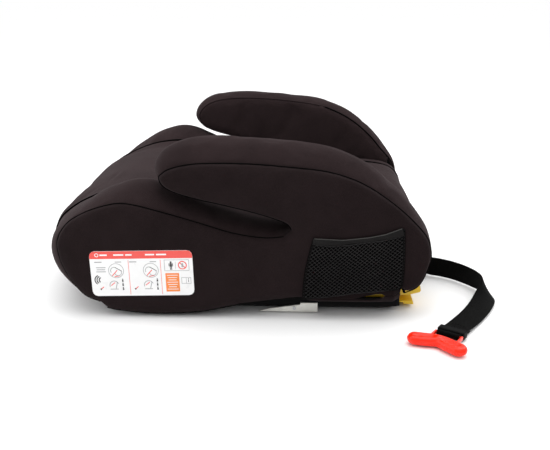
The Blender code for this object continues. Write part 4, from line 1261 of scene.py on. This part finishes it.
def build_label():
    red, black, orange = Print(0.00002), Print(0.00003), Print(0.00002)
    pale, mid = Print(0.00005), Print(0.00003)
    red.shape(rounded(0.1118, 0.0518, 0.0058, low=0.0172))
    pale.ring(-0.0480, 0.0216, 0.0018, 0.0007)
    for a, wide in ((-0.0405, 0.008), (-0.0240, 0.011), (-0.0130, 0.007), (0.0100, 0.010),
                    (0.0225, 0.011)):
        pale.bar(a, 0.0216, wide, 0.0017)
    for a in (-0.0140, 0.0210):
        red.bar(a, -0.0045, 0.0005, 0.0400)
    for left in (-0.0345, 0.0035):
        mid.bar(left - 0.0125, 0.0135, 0.0080, 0.0011)
        mid.bar(left + 0.0095, 0.0135, 0.0070, 0.0009)
        mid.ring(left + 0.0065, 0.0035, 0.0082, 0.0006)
        mid.arc(left + 0.0045, 0.0035, 0.0040, 0.0007, 30, 210)
        mid.arc(left + 0.0085, 0.0015, 0.0038, 0.0007, 200, 380)
        black.bar(left + 0.0090, 0.0052, 0.0088, 0.0007, math.radians(-32))
        red.bar(left + 0.0048, 0.0008, 0.0088, 0.0009, math.radians(48))
        red.bar(left + 0.0072, -0.0030, 0.0060, 0.0009, math.radians(10))
        for k in range(3):
            black.bar(left + 0.0128, -0.0085 - 0.0048 * k, 0.0016, 0.0022)
            black.disc(left + 0.0128, -0.0066 - 0.0048 * k, 0.0007, 10)
        mid.arc(left + 0.0032, -0.0135, 0.0050, 0.0008, 20, 200)
        mid.bar(left + 0.0030, -0.0180, 0.0088, 0.0008)
        mid.bar(left + 0.0058, -0.0135, 0.0008, 0.0080, math.radians(-14))
        red.bar(left + 0.0020, -0.0120, 0.0058, 0.0009, math.radians(38))
        red.bar(left - 0.0100, -0.0165, 0.0040, 0.0010, math.radians(40))
        black.bar(left - 0.0118, -0.0180, 0.0014, 0.0018, math.radians(40))
    for k in range(3):
        mid.bar(-0.0445, 0.0072 - 0.0024 * k, 0.0105 - 0.0012 * (k % 2), 0.0009)
    for k, width in enumerate((0.0056, 0.0044, 0.0030)):
        black.arc(-0.0465 + 0.0010 * k, -0.0072, width, 0.0012, 110, 235)
    mid.frame(0.0385, 0.0090, 0.0265, 0.0125, 0.0005)
    black.disc(0.0322, 0.0126, 0.0011)
    black.bar(0.0322, 0.0095, 0.0026, 0.0040)
    black.bar(0.0315, 0.0058, 0.0009, 0.0040)
    black.bar(0.0329, 0.0058, 0.0009, 0.0040)
    black.bar(0.0302, 0.0095, 0.0007, 0.0034)
    black.bar(0.0342, 0.0095, 0.0007, 0.0034)
    mid.bar(0.0372, 0.0090, 0.0004, 0.0088)
    red.ring(0.0447, 0.0090, 0.0043, 0.0011)
    red.bar(0.0447, 0.0090, 0.0074, 0.0010, math.radians(-45))
    mid.bar(0.0447, 0.0090, 0.0020, 0.0045)
    orange.bar(0.0330, -0.0108, 0.0150, 0.0215)
    for k in range(7):
        pale.bar(0.0330, -0.0025 - 0.0027 * k, 0.0118 - 0.0016 * (k % 3), 0.0007)
    mid.frame(0.0480, -0.0088, 0.0100, 0.0068, 0.0005)
    mid.bar(0.0480, -0.0088, 0.0004, 0.0068)
    black.bar(0.0504, -0.0092, 0.0006, 0.0030)
    black.disc(0.0504, -0.0068, 0.0005, 8)
    red.make("label_print_red", INK_RED)
    black.make("label_print_black", INK_BLACK)
    orange.make("label_print_orange", INK_ORANGE)
    mid.make("label_print_grey", INK_GREY)
    pale.make("label_print_white", FILM)


build_label()


# ---------------------------------------------------------------- carried-over CAD nodes
def pair(*names):
    return tuple(name + hand for name in names for hand in ("_left", "_right"))


def numbered(name):
    return tuple("%s_%d" % (name, k) for k in (1, 2, 3, 4))


FINISHES = (
    (FILM, ("instruction_label",)),
    (FOAM, ("seat_foam", *pair("bolster_foam"))),
    (BLACK, (*pair("arm_core"), "seat_shell", "bottom_tray", "adjust_handle", "strap_bezel",
             "strap_keeper")),
    (YELLOW, pair("connector_housing", "release_slider")),
    (STEEL, (*pair("connector_arm", "latch_hook", "hook_pin", "hook_spring", "bracket_rivet"),
             *numbered("tray_screw"), "cross_bar", "lock_pawl", "pawl_pin", "pawl_spring",
             "pull_rod", "strap_anchor")),
    (ZINC, (*pair("guide_rail", "rail_bracket"), "lock_rack", "pawl_bracket")),
    (RUBBER, numbered("rubber_foot")),
)


def finish_nodes():
    for mat, names in FINISHES:
        for name in names:
            paint(NODES[name], mat)


finish_nodes()
